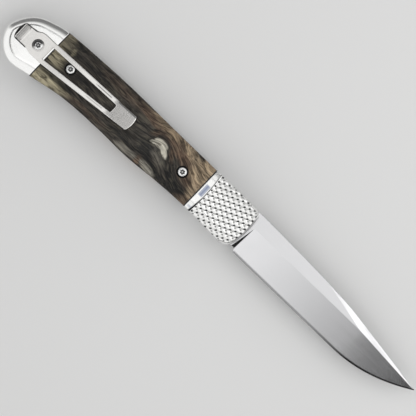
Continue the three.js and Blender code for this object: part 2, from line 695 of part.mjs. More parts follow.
function addSprings() {
  const opening = openingSpringPath();
  add('opening_spring', wire(opening, OPENING_WIRE, 44, 6), 'springSteel');
  const low = -PLUNGER_FLOOR + PLUNGER_WIRE;
  const high = PLUNGER_BORE_TOP - PLUNGER_WIRE;
  const points = [];
  const steps = Math.round(PLUNGER_TURNS * 8);
  for (let i = 0; i <= steps; i += 1) {
    const [x, y] = polar((i / 8) * 360, PLUNGER_COIL);
    points.push(new THREE.Vector3(PLUNGER[0] + x, PLUNGER[1] + y, mix(low, high, i / steps)));
  }
  const plunger = new THREE.CatmullRomCurve3(points);
  add('plunger_spring', wire(plunger, PLUNGER_WIRE, steps, 5), 'springSteel');
  const gaps = [leastGap(opening, OPENING_WIRE, 200, 60), leastGap(plunger, PLUNGER_WIRE, 200, 30)];
  console.log('least gap within the opening spring and the plunger spring:', gaps.map((g) => g.toFixed(2)).join(', '));
}

// Lock plunger: a stepped pin with a cone on top and the spring's bore below.
const RAMP = PLUNGER_TRAVEL / (radians(RELEASE_TURN) * PLUNGER_REACH); // rise per millimetre of swing
const PLUNGER_TIP = LINER_OUTER + 0.9;
const PLUNGER_FOOT = -PLUNGER_FLOOR + PLUNGER_TRAVEL + 0.15;
const PLUNGER_BORE_TOP = -BLADE_FACE;

function addPlunger() {
  const shoulder = BLADE_FACE - 0.15;
  const body = turned(PLUNGER, [
    [0, PLUNGER_FOOT], [PLUNGER_RADIUS, PLUNGER_FOOT], [PLUNGER_RADIUS, shoulder], [PLUNGER_NECK, shoulder],
    [PLUNGER_NECK, PLUNGER_TIP - PLUNGER_NECK * RAMP], [0, PLUNGER_TIP],
  ]).subtract(rod(PLUNGER, PLUNGER_COIL + PLUNGER_WIRE + BORE_GAP, -FAR, PLUNGER_BORE_TOP, 20));
  add('lock_plunger', body, 'springSteel');
}

// The ramp in the underside of the turning bolster that presses the plunger's cone.
function rampPocket() {
  const lift = STOP_GAP * Math.hypot(1, RAMP);
  const ceiling = PLUNGER_TIP + lift;
  const floor = LINER_OUTER - 0.5;
  const half = PLUNGER_NECK * 0.8 + STOP_GAP;
  const profile = [[-(ceiling - floor) / RAMP, floor], [half, floor], [half, ceiling], [0, ceiling]];
  const shape = new THREE.Shape(profile.map(([s, z]) => new THREE.Vector2(s, z)));
  const geometry = new THREE.ExtrudeGeometry(shape, { depth: 2 * half, bevelEnabled: false });
  geometry.translate(0, 0, -half).rotateX(Math.PI / 2);
  geometry.rotateZ(radians(PLUNGER_ANGLE - 90)).translate(PLUNGER[0], PLUNGER[1], 0);
  return solid(geometry);
}

// The two knurled bolsters: the clip side's turns, the show side's holds the spring and the pivot barrel.
function addBolsters() {
  const retainerTop = LINER_OUTER + 1.1;
  const threads = Object.values(RETAINERS).map(({ angle, reach }) => rod(
    polar(angle, reach), RETAINER_SHANK + BORE_GAP, 0, retainerTop + BORE_GAP));
  let release = knurledBlank(LINER_OUTER + RUNNING_GAP)
    .subtract(rod([0, 0], PIVOT_HEAD_RADIUS + BORE_GAP, 0, LINER_OUTER + PIVOT_HEAD_THICKNESS + BORE_GAP))
    .subtract(rampPocket());
  for (const thread of threads) release = release.subtract(thread);
  add('release_bolster', release, 'bolsterSteel');

  const well = rod([0, 0], SPRING_WELL, 0, SPRING_FLOOR).subtract(rod([0, 0], SPRING_BOSS, -1, FAR));
  const legEnd = OPENING_LEG + OPENING_WIRE + 0.4;
  const slotHalf = OPENING_WIRE + 0.3;
  const legSlot = solid(new THREE.BoxGeometry(slotHalf * 2, legEnd, SPRING_FLOOR)
    .translate(OPENING_COIL, -legEnd / 2, SPRING_FLOOR / 2)
    .rotateZ(radians(LEG_ANGLE)));
  let fixed = knurledBlank(LINER_OUTER)
    .add(rod([0, 0], SPRING_BOSS, LINER_INNER, LINER_OUTER + 0.2))
    .subtract(well)
    .subtract(legSlot.subtract(rod([0, 0], SPRING_BOSS, -1, FAR)))
    .subtract(rod([0, 0], BARREL_RADIUS + BORE_GAP, 0, SPRING_FLOOR))
    .subtract(rod(PLUNGER, PLUNGER_RADIUS + BORE_GAP, 0, PLUNGER_FLOOR));
  for (const thread of threads) fixed = fixed.subtract(thread);
  add('front_bolster_show_side', otherSide(fixed), 'bolsterSteel');

  for (const [name, { angle, reach }] of Object.entries(RETAINERS)) {
    const shape = turned(polar(angle, reach), [
      [0, LINER_INNER], [RETAINER_HEAD, LINER_INNER], [RETAINER_HEAD, LINER_INNER + RETAINER_HEAD_THICKNESS],
      [RETAINER_SHANK, LINER_INNER + RETAINER_HEAD_THICKNESS], [RETAINER_SHANK, retainerTop], [0, retainerTop],
    ], 20);
    const body = shape.subtract(sixLobes(polar(angle, reach), SOCKET_RADIUS, 0, LINER_INNER + 0.35));
    add(`bolster_screw_${name}_clip_side`, body, 'linerSteel');
    add(`bolster_screw_${name}_show_side`, otherSide(body), 'linerSteel');
  }
}

function addPivot() {
  const bore = PIVOT_SCREW_SHANK + BORE_GAP;
  const barrel = rod([0, 0], BARREL_RADIUS, -SPRING_FLOOR, LINER_OUTER)
    .subtract(rod([0, 0], bore, -LINER_INNER, FAR));
  add('pivot_barrel', barrel, 'linerSteel');
  add('pivot_screw', screw([0, 0], {
    head: PIVOT_HEAD_RADIUS,
    thickness: PIVOT_HEAD_THICKNESS,
    shank: PIVOT_SCREW_SHANK,
    seat: LINER_OUTER,
    tip: -LINER_INNER + 0.3,
    socket: 1.3,
  }), 'linerSteel');
  const washer = (radius, low) => rod([0, 0], radius, low, low + WASHER_THICKNESS)
    .subtract(rod([0, 0], BARREL_RADIUS + BORE_GAP, -FAR, FAR));
  add('washer_clip_side', washer(WASHER_RADIUS, LINER_INNER - WASHER_THICKNESS), 'bronze');
  add('washer_show_side', washer(SPRING_BOSS, -LINER_INNER), 'bronze');
}

// Blade outline, as heights over the place along the blade
function spineAt(x) {
  const along = Math.max(x - HEEL_X, 0);
  const flat = SPINE_HEIGHT - SPINE_FALL * along - SPINE_BOW * along ** 2;
  const clipped = TIP_HEIGHT + 0.2 + POINT_FALL * (PIVOT_TO_TIP - x);
  const half = (flat - clipped) / 2;
  return (flat + clipped) / 2 - Math.hypot(half, SPINE_KNEE);
}

function edgeAt(x) {
  const straight = -mix(HEEL_DROP, EDGE_DROP, (x - HEEL_X) / (BELLY_START - HEEL_X));
  if (x < BELLY_START) return straight;
  const share = (x - BELLY_START) / (PIVOT_TO_TIP - BELLY_START);
  return -EDGE_DROP + (EDGE_DROP + TIP_HEIGHT) * share ** 2;
}

// One cross-section of the blade: spine, swedge line, grind line, edge shoulder and edge, then back up the far side.
function bladeSection(x) {
  const spine = spineAt(x);
  const edge = Math.min(edgeAt(x), spine - 0.2);
  const swedge = THREE.MathUtils.clamp((x - SWEDGE_START) / (SWEDGE_END - SWEDGE_START), 0, 1);
  const point = THREE.MathUtils.clamp((x - SWEDGE_END) / (PIVOT_TO_TIP - SWEDGE_END), 0, 1);
  const grindLine = GRIND_HEIGHT - GRIND_FALL * (Math.min(x, SWEDGE_END) - HEEL_X);
  const swedgeLine = mix(spineAt(SWEDGE_START), grindLine, swedge);
  const ridge = mix(swedgeLine, TIP_HEIGHT, point);
  const height = spine - edge;
  const upper = Math.min(ridge, spine - 0.04 * Math.min(height, 1));
  const lower = Math.min(mix(grindLine, TIP_HEIGHT, point), upper - 0.04 * Math.min(height, 1));
  const shoulder = edge + Math.min(EDGE_BEVEL, height * 0.35);
  const thick = mix(BLADE_FACE, EDGE_SHOULDER, point ** 1.4);
  const top = mix(mix(BLADE_FACE, SWEDGE_SPINE, swedge), EDGE_LAND * 2, point);
  const rim = [
    [spine, Math.min(top, thick)],
    [upper, thick],
    [Math.max(lower, shoulder + 0.02), thick],
    [shoulder, Math.min(EDGE_SHOULDER, thick)],
    [edge, EDGE_LAND],
  ];
  const far = rim.slice().reverse().map(([y, z]) => [y, -z]);
  return [...rim, ...far].map(([y, z]) => [x, y, z]);
}

function bladeBody() {
  const stations = [HEEL_X - 3, HEEL_X, SWEDGE_START - 10];
  for (let i = 0; i <= 6; i += 1) stations.push(mix(SWEDGE_START, SWEDGE_END, i / 6));
  for (let i = 1; i <= 14; i += 1) stations.push(mix(SWEDGE_END, PIVOT_TO_TIP - 0.05, 1 - (1 - i / 14) ** 1.15));
  const notch = [
    [0, -RICASSO_DROP], [HEEL_X - 0.7, -RICASSO_DROP], [HEEL_X - 0.2, -RICASSO_DROP - 0.15],
    [HEEL_X, -RICASSO_DROP - 0.6], [HEEL_X + 0.35, -HEEL_DROP - 0.2], [HEEL_X + 0.35, -FAR], [0, -FAR],
  ].reverse();
  return loft(stations.map((x) => bladeSection(x)), fanCap).subtract(prism(notch, -FAR, FAR));
}

// The tang: a round part that runs past the plunger, and the full-thickness stretch up to the plunge.
function tangBody() {
  const front = HEEL_X + 1.6;
  const stop = PLUNGER_ANGLE - THREE.MathUtils.radToDeg(Math.asin((PLUNGER_RADIUS + STOP_GAP) / PLUNGER_REACH)) - 2;
  const topRear = polar(stop, spineAt(0) / Math.sin(radians(stop)));
  const outline = [
    [0, 0], [PLUNGE_BOTTOM - 3, -RICASSO_DROP], [HEEL_X + 0.4, -RICASSO_DROP - 0.1], [front, GRIND_HEIGHT],
    [front, spineAt(front)], [topRear[0], spineAt(topRear[0])], polar(stop, TANG_RADIUS - 0.4),
  ];
  const room = PLUNGER_RADIUS + STOP_GAP;
  return prism(outline, -BLADE_FACE, BLADE_FACE)
    .add(rod([0, 0], TANG_RADIUS, -BLADE_FACE, BLADE_FACE, 48))
    .subtract(rod(PLUNGER, room, -FAR, FAR))
    .subtract(rod([-PLUNGER[0], -PLUNGER[1]], room, -FAR, FAR))
    .subtract(plungeCut())
    .subtract(otherSide(plungeCut()));
}

// The slope from the full thickness down to the main bevel. It runs from the grind line to the ricasso's foot.
function plungeCut() {
  const low = -RICASSO_DROP;
  const slant = Math.atan2(PLUNGE_TOP - PLUNGE_BOTTOM, GRIND_HEIGHT - low);
  const reach = Math.hypot(PLUNGE_TOP - PLUNGE_BOTTOM, GRIND_HEIGHT - low);
  const shape = new THREE.Shape([[0, BLADE_FACE], [PLUNGE_RUN, 0], [9, 0], [9, BLADE_FACE + 1], [-1, BLADE_FACE + 1]]
    .map(([s, z]) => new THREE.Vector2(s, z)));
  const geometry = new THREE.ExtrudeGeometry(shape, { depth: reach + 4, bevelEnabled: false });
  geometry.rotateX(Math.PI / 2).translate(0, reach, 0).rotateZ(-slant).translate(PLUNGE_BOTTOM, low, 0);
  return solid(geometry);
}

function addBlade() {
  const end = openingSpringPath().getPoint(1);
  const legHole = rod([end.x, end.y], OPENING_WIRE + 0.35, -FAR, end.z + 0.4, 20);
  const body = tangBody()
    .add(bladeBody())
    .subtract(rod([0, 0], BARREL_RADIUS + BORE_GAP, -FAR, FAR))
    .subtract(legHole);
  add('blade', body, 'bladeSteel');
}

// Clip seen from above: a foot, two rails round a slot, and a solid free end.
function clipOutline(gap = 0) {
  const shape = new THREE.Shape();
  const bow = 0.7; // the free end's rounding
  shape.moveTo(CLIP_FOOT_REAR - gap, -CLIP_FOOT_BELOW - gap);
  shape.lineTo(CLIP_FOOT_FRONT + 0.2, -CLIP_FOOT_BELOW - gap);
  shape.lineTo(CLIP_FOOT_FRONT + 2.6, -CLIP_REAR_BELOW - gap);
  shape.lineTo(CLIP_SLOT_REAR, -CLIP_REAR_BELOW - gap);
  shape.lineTo(CLIP_TIP - bow, -CLIP_TIP_BELOW - gap);
  shape.quadraticCurveTo(CLIP_TIP + bow, (CLIP_TIP_ABOVE - CLIP_TIP_BELOW) / 2, CLIP_TIP - bow, CLIP_TIP_ABOVE + gap);
  shape.lineTo(CLIP_SLOT_REAR, CLIP_REAR_ABOVE + gap);
  shape.lineTo(CLIP_FOOT_FRONT + 2.6, CLIP_REAR_ABOVE + gap);
  shape.lineTo(CLIP_FOOT_FRONT + 1.1, CLIP_REAR_ABOVE - 0.3 + gap);
  shape.lineTo(CLIP_FOOT_FRONT - 0.5, CLIP_FOOT_ABOVE + 0.4 + gap);
  shape.lineTo(CLIP_FOOT_REAR - gap, CLIP_FOOT_ABOVE + gap);
  return shape;
}

function clipSlot() {
  const share = (x) => (x - CLIP_SLOT_REAR) / (CLIP_TIP - CLIP_SLOT_REAR);
  const low = (x) => -mix(CLIP_REAR_BELOW, CLIP_TIP_BELOW, share(x)) + CLIP_RAIL;
  const high = (x) => mix(CLIP_REAR_ABOVE, CLIP_TIP_ABOVE, share(x)) - CLIP_RAIL;
  const round = 0.6;
  const shape = new THREE.Shape();
  shape.moveTo(CLIP_SLOT_REAR, low(CLIP_SLOT_REAR));
  shape.lineTo(CLIP_SLOT_FRONT - round, low(CLIP_SLOT_FRONT));
  shape.quadraticCurveTo(CLIP_SLOT_FRONT, low(CLIP_SLOT_FRONT), CLIP_SLOT_FRONT, low(CLIP_SLOT_FRONT) + round);
  shape.lineTo(CLIP_SLOT_FRONT, high(CLIP_SLOT_FRONT) - round);
  shape.quadraticCurveTo(CLIP_SLOT_FRONT, high(CLIP_SLOT_FRONT), CLIP_SLOT_FRONT - round, high(CLIP_SLOT_FRONT));
  shape.lineTo(CLIP_SLOT_REAR, high(CLIP_SLOT_REAR));
  return prism(shape, 0, FAR);
}

const POCKET_FLOOR = COVER_FACE - POCKET_DEPTH;

// The pocket that the clip's foot lies in, with a rounded rear end.
function clipPocket() {
  const rear = CLIP_FOOT_REAR - 2.1;
  const middle = (CLIP_FOOT_ABOVE - CLIP_FOOT_BELOW) / 2;
  const half = (CLIP_FOOT_ABOVE + CLIP_FOOT_BELOW) / 2 + POCKET_GAP;
  const end = new THREE.Shape();
  end.moveTo(CLIP_FOOT_REAR + 1, middle + half);
  end.bezierCurveTo(rear, middle + half, rear, middle - half, CLIP_FOOT_REAR + 1, middle - half);
  return prism(clipOutline(POCKET_GAP), POCKET_FLOOR, FAR)
    .intersect(between(-FAR * 2, CLIP_FOOT_FRONT + POCKET_GAP))
    .add(prism(end, POCKET_FLOOR, FAR));
}

// Clip seen from the side: the foot in its pocket, a bend up to the cover, bowed rails, the grip and the lifted
// free end.
function clipProfile() {
  const grip = CLIP_SLOT_FRONT - 1.5;
  const seat = COVER_FACE;
  const straight = [[CLIP_FOOT_REAR, POCKET_FLOOR], [CLIP_BEND, POCKET_FLOOR], [CLIP_FOOT_FRONT, seat]];
  const bowed = splineThrough([
    [CLIP_SLOT_REAR - 1.5, seat],
    [mix(CLIP_SLOT_REAR, grip, 0.2), seat + CLIP_STANDOFF + CLIP_BOW * 0.6],
    [mix(CLIP_SLOT_REAR, grip, 0.45), seat + CLIP_STANDOFF + CLIP_BOW],
    [mix(CLIP_SLOT_REAR, grip, 0.8), seat + CLIP_STANDOFF + CLIP_BOW * 0.45],
    [grip, seat + CLIP_STANDOFF],
    [mix(grip, CLIP_TIP, 0.4), seat + CLIP_STANDOFF + CLIP_FLARE * 0.25],
    [CLIP_TIP + 1, seat + CLIP_STANDOFF + CLIP_FLARE],
  ]);
  const low = [...straight, ...trace(bowed, 3, 6).map((p) => [p.x, p.y])];
  const high = inset(low, CLIP_THICKNESS).reverse();
  const shape = new THREE.Shape([...low, ...high].map(([x, z]) => new THREE.Vector2(x, z)));
  const geometry = new THREE.ExtrudeGeometry(shape, { depth: 2 * FAR, bevelEnabled: false });
  return solid(geometry.rotateX(Math.PI / 2).translate(0, FAR, 0));
}

function addClip() {
  const seat = COVER_FACE + CLIP_THICKNESS - SCREW_HEAD_THICKNESS - 0.1;
  const body = clipProfile()
    .intersect(prism(clipOutline(), 0, FAR))
    .subtract(clipSlot())
    .subtract(rod(CLIP_SCREW, SHANK_RADIUS + BORE_GAP, 0, FAR))
    .subtract(rod(CLIP_SCREW, COUNTERBORE_RADIUS, seat, FAR));
  add('pocket_clip', body, 'clipSteel');
  add('clip_screw', screw(CLIP_SCREW, {
    head: SCREW_HEAD_RADIUS,
    thickness: SCREW_HEAD_THICKNESS,
    shank: SHANK_RADIUS,
    seat,
    tip: LINER_INNER + 0.1,
  }), 'linerSteel');
}

function addScaleScrews() {
  for (const [name, place] of Object.entries(SCALE_SCREWS)) {
    const body = screw(place, {
      head: SCREW_HEAD_RADIUS,
      thickness: SCREW_HEAD_THICKNESS,
      shank: SHANK_RADIUS,
      seat: SCREW_SEAT,
      tip: LINER_INNER + 0.1,
    });
    add(`scale_screw_${name}_clip_side`, body, 'linerSteel');
    add(`scale_screw_${name}_show_side`, otherSide(body), 'linerSteel');
  }
}

addBlade();
addLiners();
addBackSpacer();
addPivot();
addPlunger();
addSprings();
addBolsters();
addCovers();
addScaleScrews();
addClip();

// The knife lies on its show side, with the origin under the middle of its bounding box.
const bounds = new THREE.Box3().setFromObject(group);
const middle = bounds.getCenter(new THREE.Vector3());
group.position.set(-middle.x, -middle.y, -bounds.min.z);

export default group;
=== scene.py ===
"""Looks of the folding pocket knife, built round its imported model.

Shapes are worked out in millimetres in the pivot frame: the blade's pivot axis is Z, +X points to the tip,
+Y to the spine and +Z to the clip side, with Z = 0 in the middle of the blade. Meshes are placed in the part's
frame.
"""

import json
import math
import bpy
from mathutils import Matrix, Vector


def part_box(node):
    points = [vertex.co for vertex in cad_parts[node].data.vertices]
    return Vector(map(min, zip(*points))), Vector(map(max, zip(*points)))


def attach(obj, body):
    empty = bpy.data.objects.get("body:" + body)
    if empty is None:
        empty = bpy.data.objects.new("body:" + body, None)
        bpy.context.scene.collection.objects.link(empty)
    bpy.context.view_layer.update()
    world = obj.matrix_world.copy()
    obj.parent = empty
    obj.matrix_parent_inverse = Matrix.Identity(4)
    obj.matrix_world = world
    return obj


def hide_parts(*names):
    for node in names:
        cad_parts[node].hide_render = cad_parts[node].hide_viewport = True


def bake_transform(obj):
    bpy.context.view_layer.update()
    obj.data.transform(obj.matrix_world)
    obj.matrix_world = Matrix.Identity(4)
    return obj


bl_info = {
    "name": "Folding pocket knife",
    "version": (1, 0, 0),
    "blender": (4, 5, 0),
    "location": "3D View > Sidebar > Knife",
    "description": "Builds the visible pieces and finishes of a folding pocket knife",
    "category": "Object",
}

import bmesh
import bpy
import numpy as np
from bpy.props import FloatProperty, FloatVectorProperty, PointerProperty
from mathutils import Vector

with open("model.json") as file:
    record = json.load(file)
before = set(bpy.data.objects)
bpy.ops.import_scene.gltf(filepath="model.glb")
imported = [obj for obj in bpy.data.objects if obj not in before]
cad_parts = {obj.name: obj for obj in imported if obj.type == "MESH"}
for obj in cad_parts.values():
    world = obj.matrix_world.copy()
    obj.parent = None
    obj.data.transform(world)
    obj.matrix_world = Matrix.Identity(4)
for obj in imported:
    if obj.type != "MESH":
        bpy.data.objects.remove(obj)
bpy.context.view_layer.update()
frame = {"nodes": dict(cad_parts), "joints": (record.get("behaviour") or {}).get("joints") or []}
PIVOT = 1000 * np.array(next(j for j in frame["joints"] if j["name"] == "blade_pivot")["pos_m"])

# Places along the handle, in millimetres from the pivot axis
SEAM = -9.15
COLLAR_REAR = -12.0
HORN_FRONT = -12.4
HORN_REAR = -80.6
REAR_BOLSTER_FRONT = -81.0
BUTT = -97.9
SEAM_RADIUS = 58.0
SEAM_GAP = 0.12
RELEASE_TURN = math.radians(3.5)

# Gap beside pieces that turn, and the washer between the blade and each liner
RUNNING_GAP = 0.05
WASHER_THICKNESS = 0.3

# Smooth curve of the handle's side, from the top of the front bolster back round the butt and along the belly
SIDE_POINTS = [
    (5.0, 9.55), (-12.0, 9.7), (-31.32, 9.86), (-52.02, 10.1), (-67.2, 9.75), (-81.0, 9.05), (-86.7, 7.9),
    (-91.9, 5.9), (-95.7, 2.25), (-97.9, -2.6), (-97.0, -6.8), (-94.3, -10.1), (-90.7, -11.95), (-87.5, -12.2),
    (-81.0, -11.0), (-67.2, -8.65), (-52.02, -8.05), (-38.22, -8.2), (-23.73, -7.19), (-12.0, -6.85),
    (-1.2, -7.15), (5.2, -7.3),
]
FRONT_POINTS = [
    (5.2, -7.3), (7.4, -6.4), (8.7, -4.6), (9.4, -1.2), (9.6, 2.4), (9.45, 5.55), (8.85, 8.35), (7.4, 9.4),
    (5.0, 9.55),
]

# Rounding of the covers. At their ends the face is let down a little, on a few close steps.
ROLL_AT_BUTT = 0.62
RIM_RADIUS = 0.4
LIP_WIDTH = 0.65
LIP_DEPTH = 1.2
END_STEPS = np.array([0, 0.03, 0.07, 0.12])
END_FALL = 0.05

# Knurl. Its dark marks are painted shade, in ovals: shift from where two grooves cross, half lengths and turn.
FALLING_ANGLE = math.radians(-33.4)
RISING_ANGLE = math.radians(24.4)
KNURL_ORIGIN = (1.4, 2.5)
KNURL_TOP = 0.5
KNURL_SKIM = 0.04
STRONG_MARK = ((0.03, -0.05), (0.47, 0.3), math.radians(32))
WEAK_MARK = ((0.9, -0.43), (0.42, 0.24), math.radians(22))

# Blade
TIP = 88.1
HEEL = 10.4
HEEL_DROP = 6.75
EDGE_DROP = 7.05
BELLY_START = 58.3
TIP_HEIGHT = 1.75
SPINE_HEIGHT = 9.4
SPINE_FALL = 0.02
SPINE_BOW = 0.00062
SPINE_KNEE = 0.12
POINT_FALL = 0.158
GRIND_HEIGHT = 4.2
GRIND_FALL = 0.006
SWEDGE_START = 41.8
SWEDGE_END = 60.8
SWEDGE_SPINE = 0.4
EDGE_SHOULDER = 0.28
EDGE_LAND = 0.02
LEAST_GAP = 0.04
PLUNGE_TOP = 10.75
PLUNGE_BOTTOM = 8.9
PLUNGE_RUN = 1.8
RICASSO_DROP = 5.3
RICASSO_FRONT = 9.6
TANG_RADIUS = 6.3
TANG_FRONT = 7.4
STOP_FACE = -2.75
BARREL_HOLE = 2.55

# Screws, in the pivot frame
SCALE_SCREWS = {"front": (-20.45, 1.25), "rear": (-72.2, 0.3)}
CLIP_SCREW = (-85.8, -1.4)
COUNTERBORE = 2.15
HEAD_THICKNESS = 0.8
HEAD_ROUNDING = 0.3
SHANK_RADIUS = 0.95
SCALE_HEAD_SUNK = 0.3
CLIP_HEAD_SUNK = 0.1
LOBE_DEPTH = 0.13
SHADED_SIDE = 2.6

# Spring under the lock plunger
SPRING_WIRE = 0.16
SPRING_TURNS = 3

# Pocket clip. Its edges are given as places along the handle and heights there.
CLIP_REAR = -93.9
CLIP_BEND = -93.0
CLIP_RISEN = -91.4
SLOT_REAR = -81.5
SLOT_FRONT = -52.3
SLOT_CORNER = 0.6
CLIP_GRIP = SLOT_FRONT - 1.5
CLIP_TIP = -43.8
CLIP_STANDOFF = 0.25
CLIP_BOW = 0.42
CLIP_FLARE = 1.2
CLIP_RAIL = 1.7
CLIP_EDGE = 0.28
CLIP_LOWER_EDGE = ([CLIP_REAR, -88.6, -86.2, SLOT_REAR, CLIP_TIP], [-4.85, -4.85, -5.45, -5.45, -1.85])
CLIP_UPPER_EDGE = ([CLIP_REAR, -89.3, -87.7, -86.2, SLOT_REAR, CLIP_TIP], [1.45, 1.85, 2.95, 3.25, 3.25, 4.05])
POCKET_DEPTH = 1.3
POCKET_GAP = 0.25
POCKET_LOW = -4.85
POCKET_HIGH = 1.45

# Back spacer
SPACER_FRONT = -7.4
EDGE_CLEARANCE = 0.4
BUTT_WALL = 6.2

# The camera's view, in metres: side of the square that it sees, its middle, its turn and its level
VIEW_SIDE = 0.1419
VIEW_MIDDLE = (-0.00072, -0.00055)
VIEW_TURN = math.radians(43.6)
VIEW_LEVEL = 0.008
LENS = 1000.0
SENSOR = 36.0

# Half the floor's side, in metres
FLOOR_REACH = 3.0

# Soft lamps, in metres in the part's frame. The level faces mirror the first two, given by middle, length and
# brightness. The bevel mirrors a row of panels that darken towards the tip, given by their edges. The swedge
# mirrors two slanting ones, given by how far they are moved along the slope.
LAMP_HEIGHT = 0.45
FACE_LAMPS = ((-0.0535, 0.163, 1.01), (0.1715, 0.287, 1.07))
FACE_LAMP_PLACE = 0.0825
FACE_LAMP_WIDTH = 0.235
BEVEL_LAMP_EDGES = (-0.135, 0.0, 0.02, 0.035, 0.05, 0.065, 0.08, 0.12)
BEVEL_LAMPS = (1.06, 1.44, 1.22, 0.93, 0.75, 0.3, 0.2)
BEVEL_LAMP_PLACE = -0.1225
BEVEL_LAMP_WIDTH = 0.175
SWEDGE_LAMPS = ((-0.0935, 1.3), (0.0935, 0.9))
SWEDGE_LAMP_PLACE = (0.215, 0.4, 0.21)
SWEDGE_LAMP_SIZE = (0.37, 0.21)
SWEDGE_LAMP_AIM = 0.065

# The knife's two sides: sign of their levels, and label
SIDES = ((1, "clip_side"), (-1, "show_side"))


def mix(a, b, share):
    """What lies a share of the way from a to b."""
    return a + (b - a) * share


def ease(low, high, value):
    """Smooth step: three times the square less twice the cube of the clamped share."""
    share = np.clip((value - low) / (high - low), 0, 1)
    return share * share * (3 - 2 * share)


def curve_through(points, count):
    """Cubic spans through the points; at each point the slope is half the chord between its neighbours."""
    points = np.asarray(points, float)
    along = np.linspace(0, len(points) - 1, count)
    span = np.minimum(along.astype(int), len(points) - 2)
    t = (along - span)[:, None]
    a, b = points[span], points[span + 1]
    slope_a = (b - points[np.maximum(span - 1, 0)]) / 2
    slope_b = (points[np.minimum(span + 2, len(points) - 1)] - a) / 2
    cubed = 2 * a - 2 * b + slope_a + slope_b
    squared = -3 * a + 3 * b - 2 * slope_a - slope_b
    return cubed * t**3 + squared * t**2 + slope_a * t + a


SIDE = curve_through(SIDE_POINTS, 1681)
FRONT_END = curve_through(FRONT_POINTS, 321)
BUTT_INDEX = int(np.argmin(SIDE[:, 0]))

# The side curve in longer steps, carried straight on far past the front end
SIDE_LINE = np.vstack([[60.0, SIDE[0, 1]], SIDE[::3], [60.0, SIDE[-1, 1]]])


def back_at(x):
    """Height of the handle's back at x, read along the side curve."""
    return np.interp(x, SIDE[BUTT_INDEX::-1, 0], SIDE[BUTT_INDEX::-1, 1])


def belly_at(x):
    """Height of the handle's belly at x, read along the side curve."""
    return np.interp(x, SIDE[BUTT_INDEX:, 0], SIDE[BUTT_INDEX:, 1])


def distance_to(line, x, y):
    """Least distance of each point to a broken line, the nearest point's x on it, and the direction to the
    left of the line's run there."""
    shape = x.shape
    x, y = x.ravel(), y.ravel()
    start, step = line[:-1], np.diff(line, axis=0)
    length = (step**2).sum(1)
    away = np.empty(len(x))
    near = np.empty(len(x))
    left = np.empty((len(x), 2))
    normal = np.stack([-step[:, 1], step[:, 0]], 1) / np.sqrt(length)[:, None]
    for first in range(0, len(x), 4000):
        part = slice(first, first + 4000)
        dx = x[part, None] - start[:, 0]
        dy = y[part, None] - start[:, 1]
        share = np.clip((dx * step[:, 0] + dy * step[:, 1]) / length, 0, 1)
        gap = np.hypot(dx - share * step[:, 0], dy - share * step[:, 1])
        best = gap.argmin(1)
        rows = np.arange(len(best))
        away[part] = gap[rows, best]
        near[part] = start[best, 0] + share[rows, best] * step[best, 0]
        left[part] = normal[best]
    return away.reshape(shape), near.reshape(shape), left.reshape(*shape, 2)


def run_of(line):
    """Running length at each point of a broken line."""
    return np.concatenate([[0], np.hypot(*np.diff(line, axis=0).T).cumsum()])


def points_along(line, at):
    """Points of a broken line at the given running lengths."""
    run = run_of(line)
    return np.stack([np.interp(at, run, line[:, 0]), np.interp(at, run, line[:, 1])], -1)


def spaced(line, count):
    """Points at even steps along a broken line."""
    return points_along(line, np.linspace(0, run_of(line)[-1], count))


def levels(sizes):
    """Levels in millimetres above the blade's middle: blade's face, liner's inner and outer face, cover's."""
    blade = 500 * sizes.blade_thickness
    inner = blade + RUNNING_GAP + WASHER_THICKNESS
    outer = inner + 1000 * sizes.liner_thickness
    return blade, inner, outer, outer + 1000 * sizes.cover_thickness


def scale_seat(sizes):
    """Level that the heads of the scales' screws sit on."""
    return levels(sizes)[3] - SCALE_HEAD_SUNK - HEAD_THICKNESS


def clip_seat(sizes):
    """Level that the head of the clip's screw sits on."""
    return levels(sizes)[3] + 1000 * sizes.clip_thickness - HEAD_THICKNESS - CLIP_HEAD_SUNK


def roll_width_at(sizes, x):
    """Width of the covers' roll at x, narrower round the butt."""
    share = np.clip((x - BUTT) / (REAR_BOLSTER_FRONT - BUTT), 0, 1)
    return 1000 * sizes.roll_width * mix(ROLL_AT_BUTT, 1, share)


def rolled_level(sizes, x, y):
    """Level of the covers' face: flat, and falling by the roll's depth times the square of one less the
    distance in from the outline over the roll's width, then by a quarter round at the rim. Also gives the fall
    per millimetre and the direction inwards."""
    face = levels(sizes)[3]
    away, near_x, inward = distance_to(SIDE_LINE, x, y)
    width = roll_width_at(sizes, near_x)
    share = np.clip(1 - away / width, 0, 1)
    rim = np.clip(1 - away / RIM_RADIUS, 0, 0.999)
    depth = 1000 * sizes.roll_depth
    level = face - depth * share**2 - RIM_RADIUS * (1 - np.sqrt(1 - rim**2))
    return level, 2 * depth * share / width + rim / np.sqrt(1 - rim**2), inward


def let_down(level, end, fall=END_FALL):
    """Level eased down towards the end of a cover, as the square of the share of the last steps."""
    return level - fall * np.clip(1 - end / END_STEPS[-1], 0, 1) ** 2


# Meshes

MERGE_DISTANCE = 1e-7


def grid_quads(rows, columns, wrap=False):
    """Corner numbers of the faces of a grid of points, row by row; wrap joins the last row to the first."""
    numbers = np.arange(rows * columns).reshape(rows, columns)
    if wrap:
        numbers = np.vstack([numbers, numbers[:1]])
    corners = [numbers[:-1, :-1], numbers[:-1, 1:], numbers[1:, 1:], numbers[1:, :-1]]
    return np.stack(corners, -1).reshape(-1, 4)


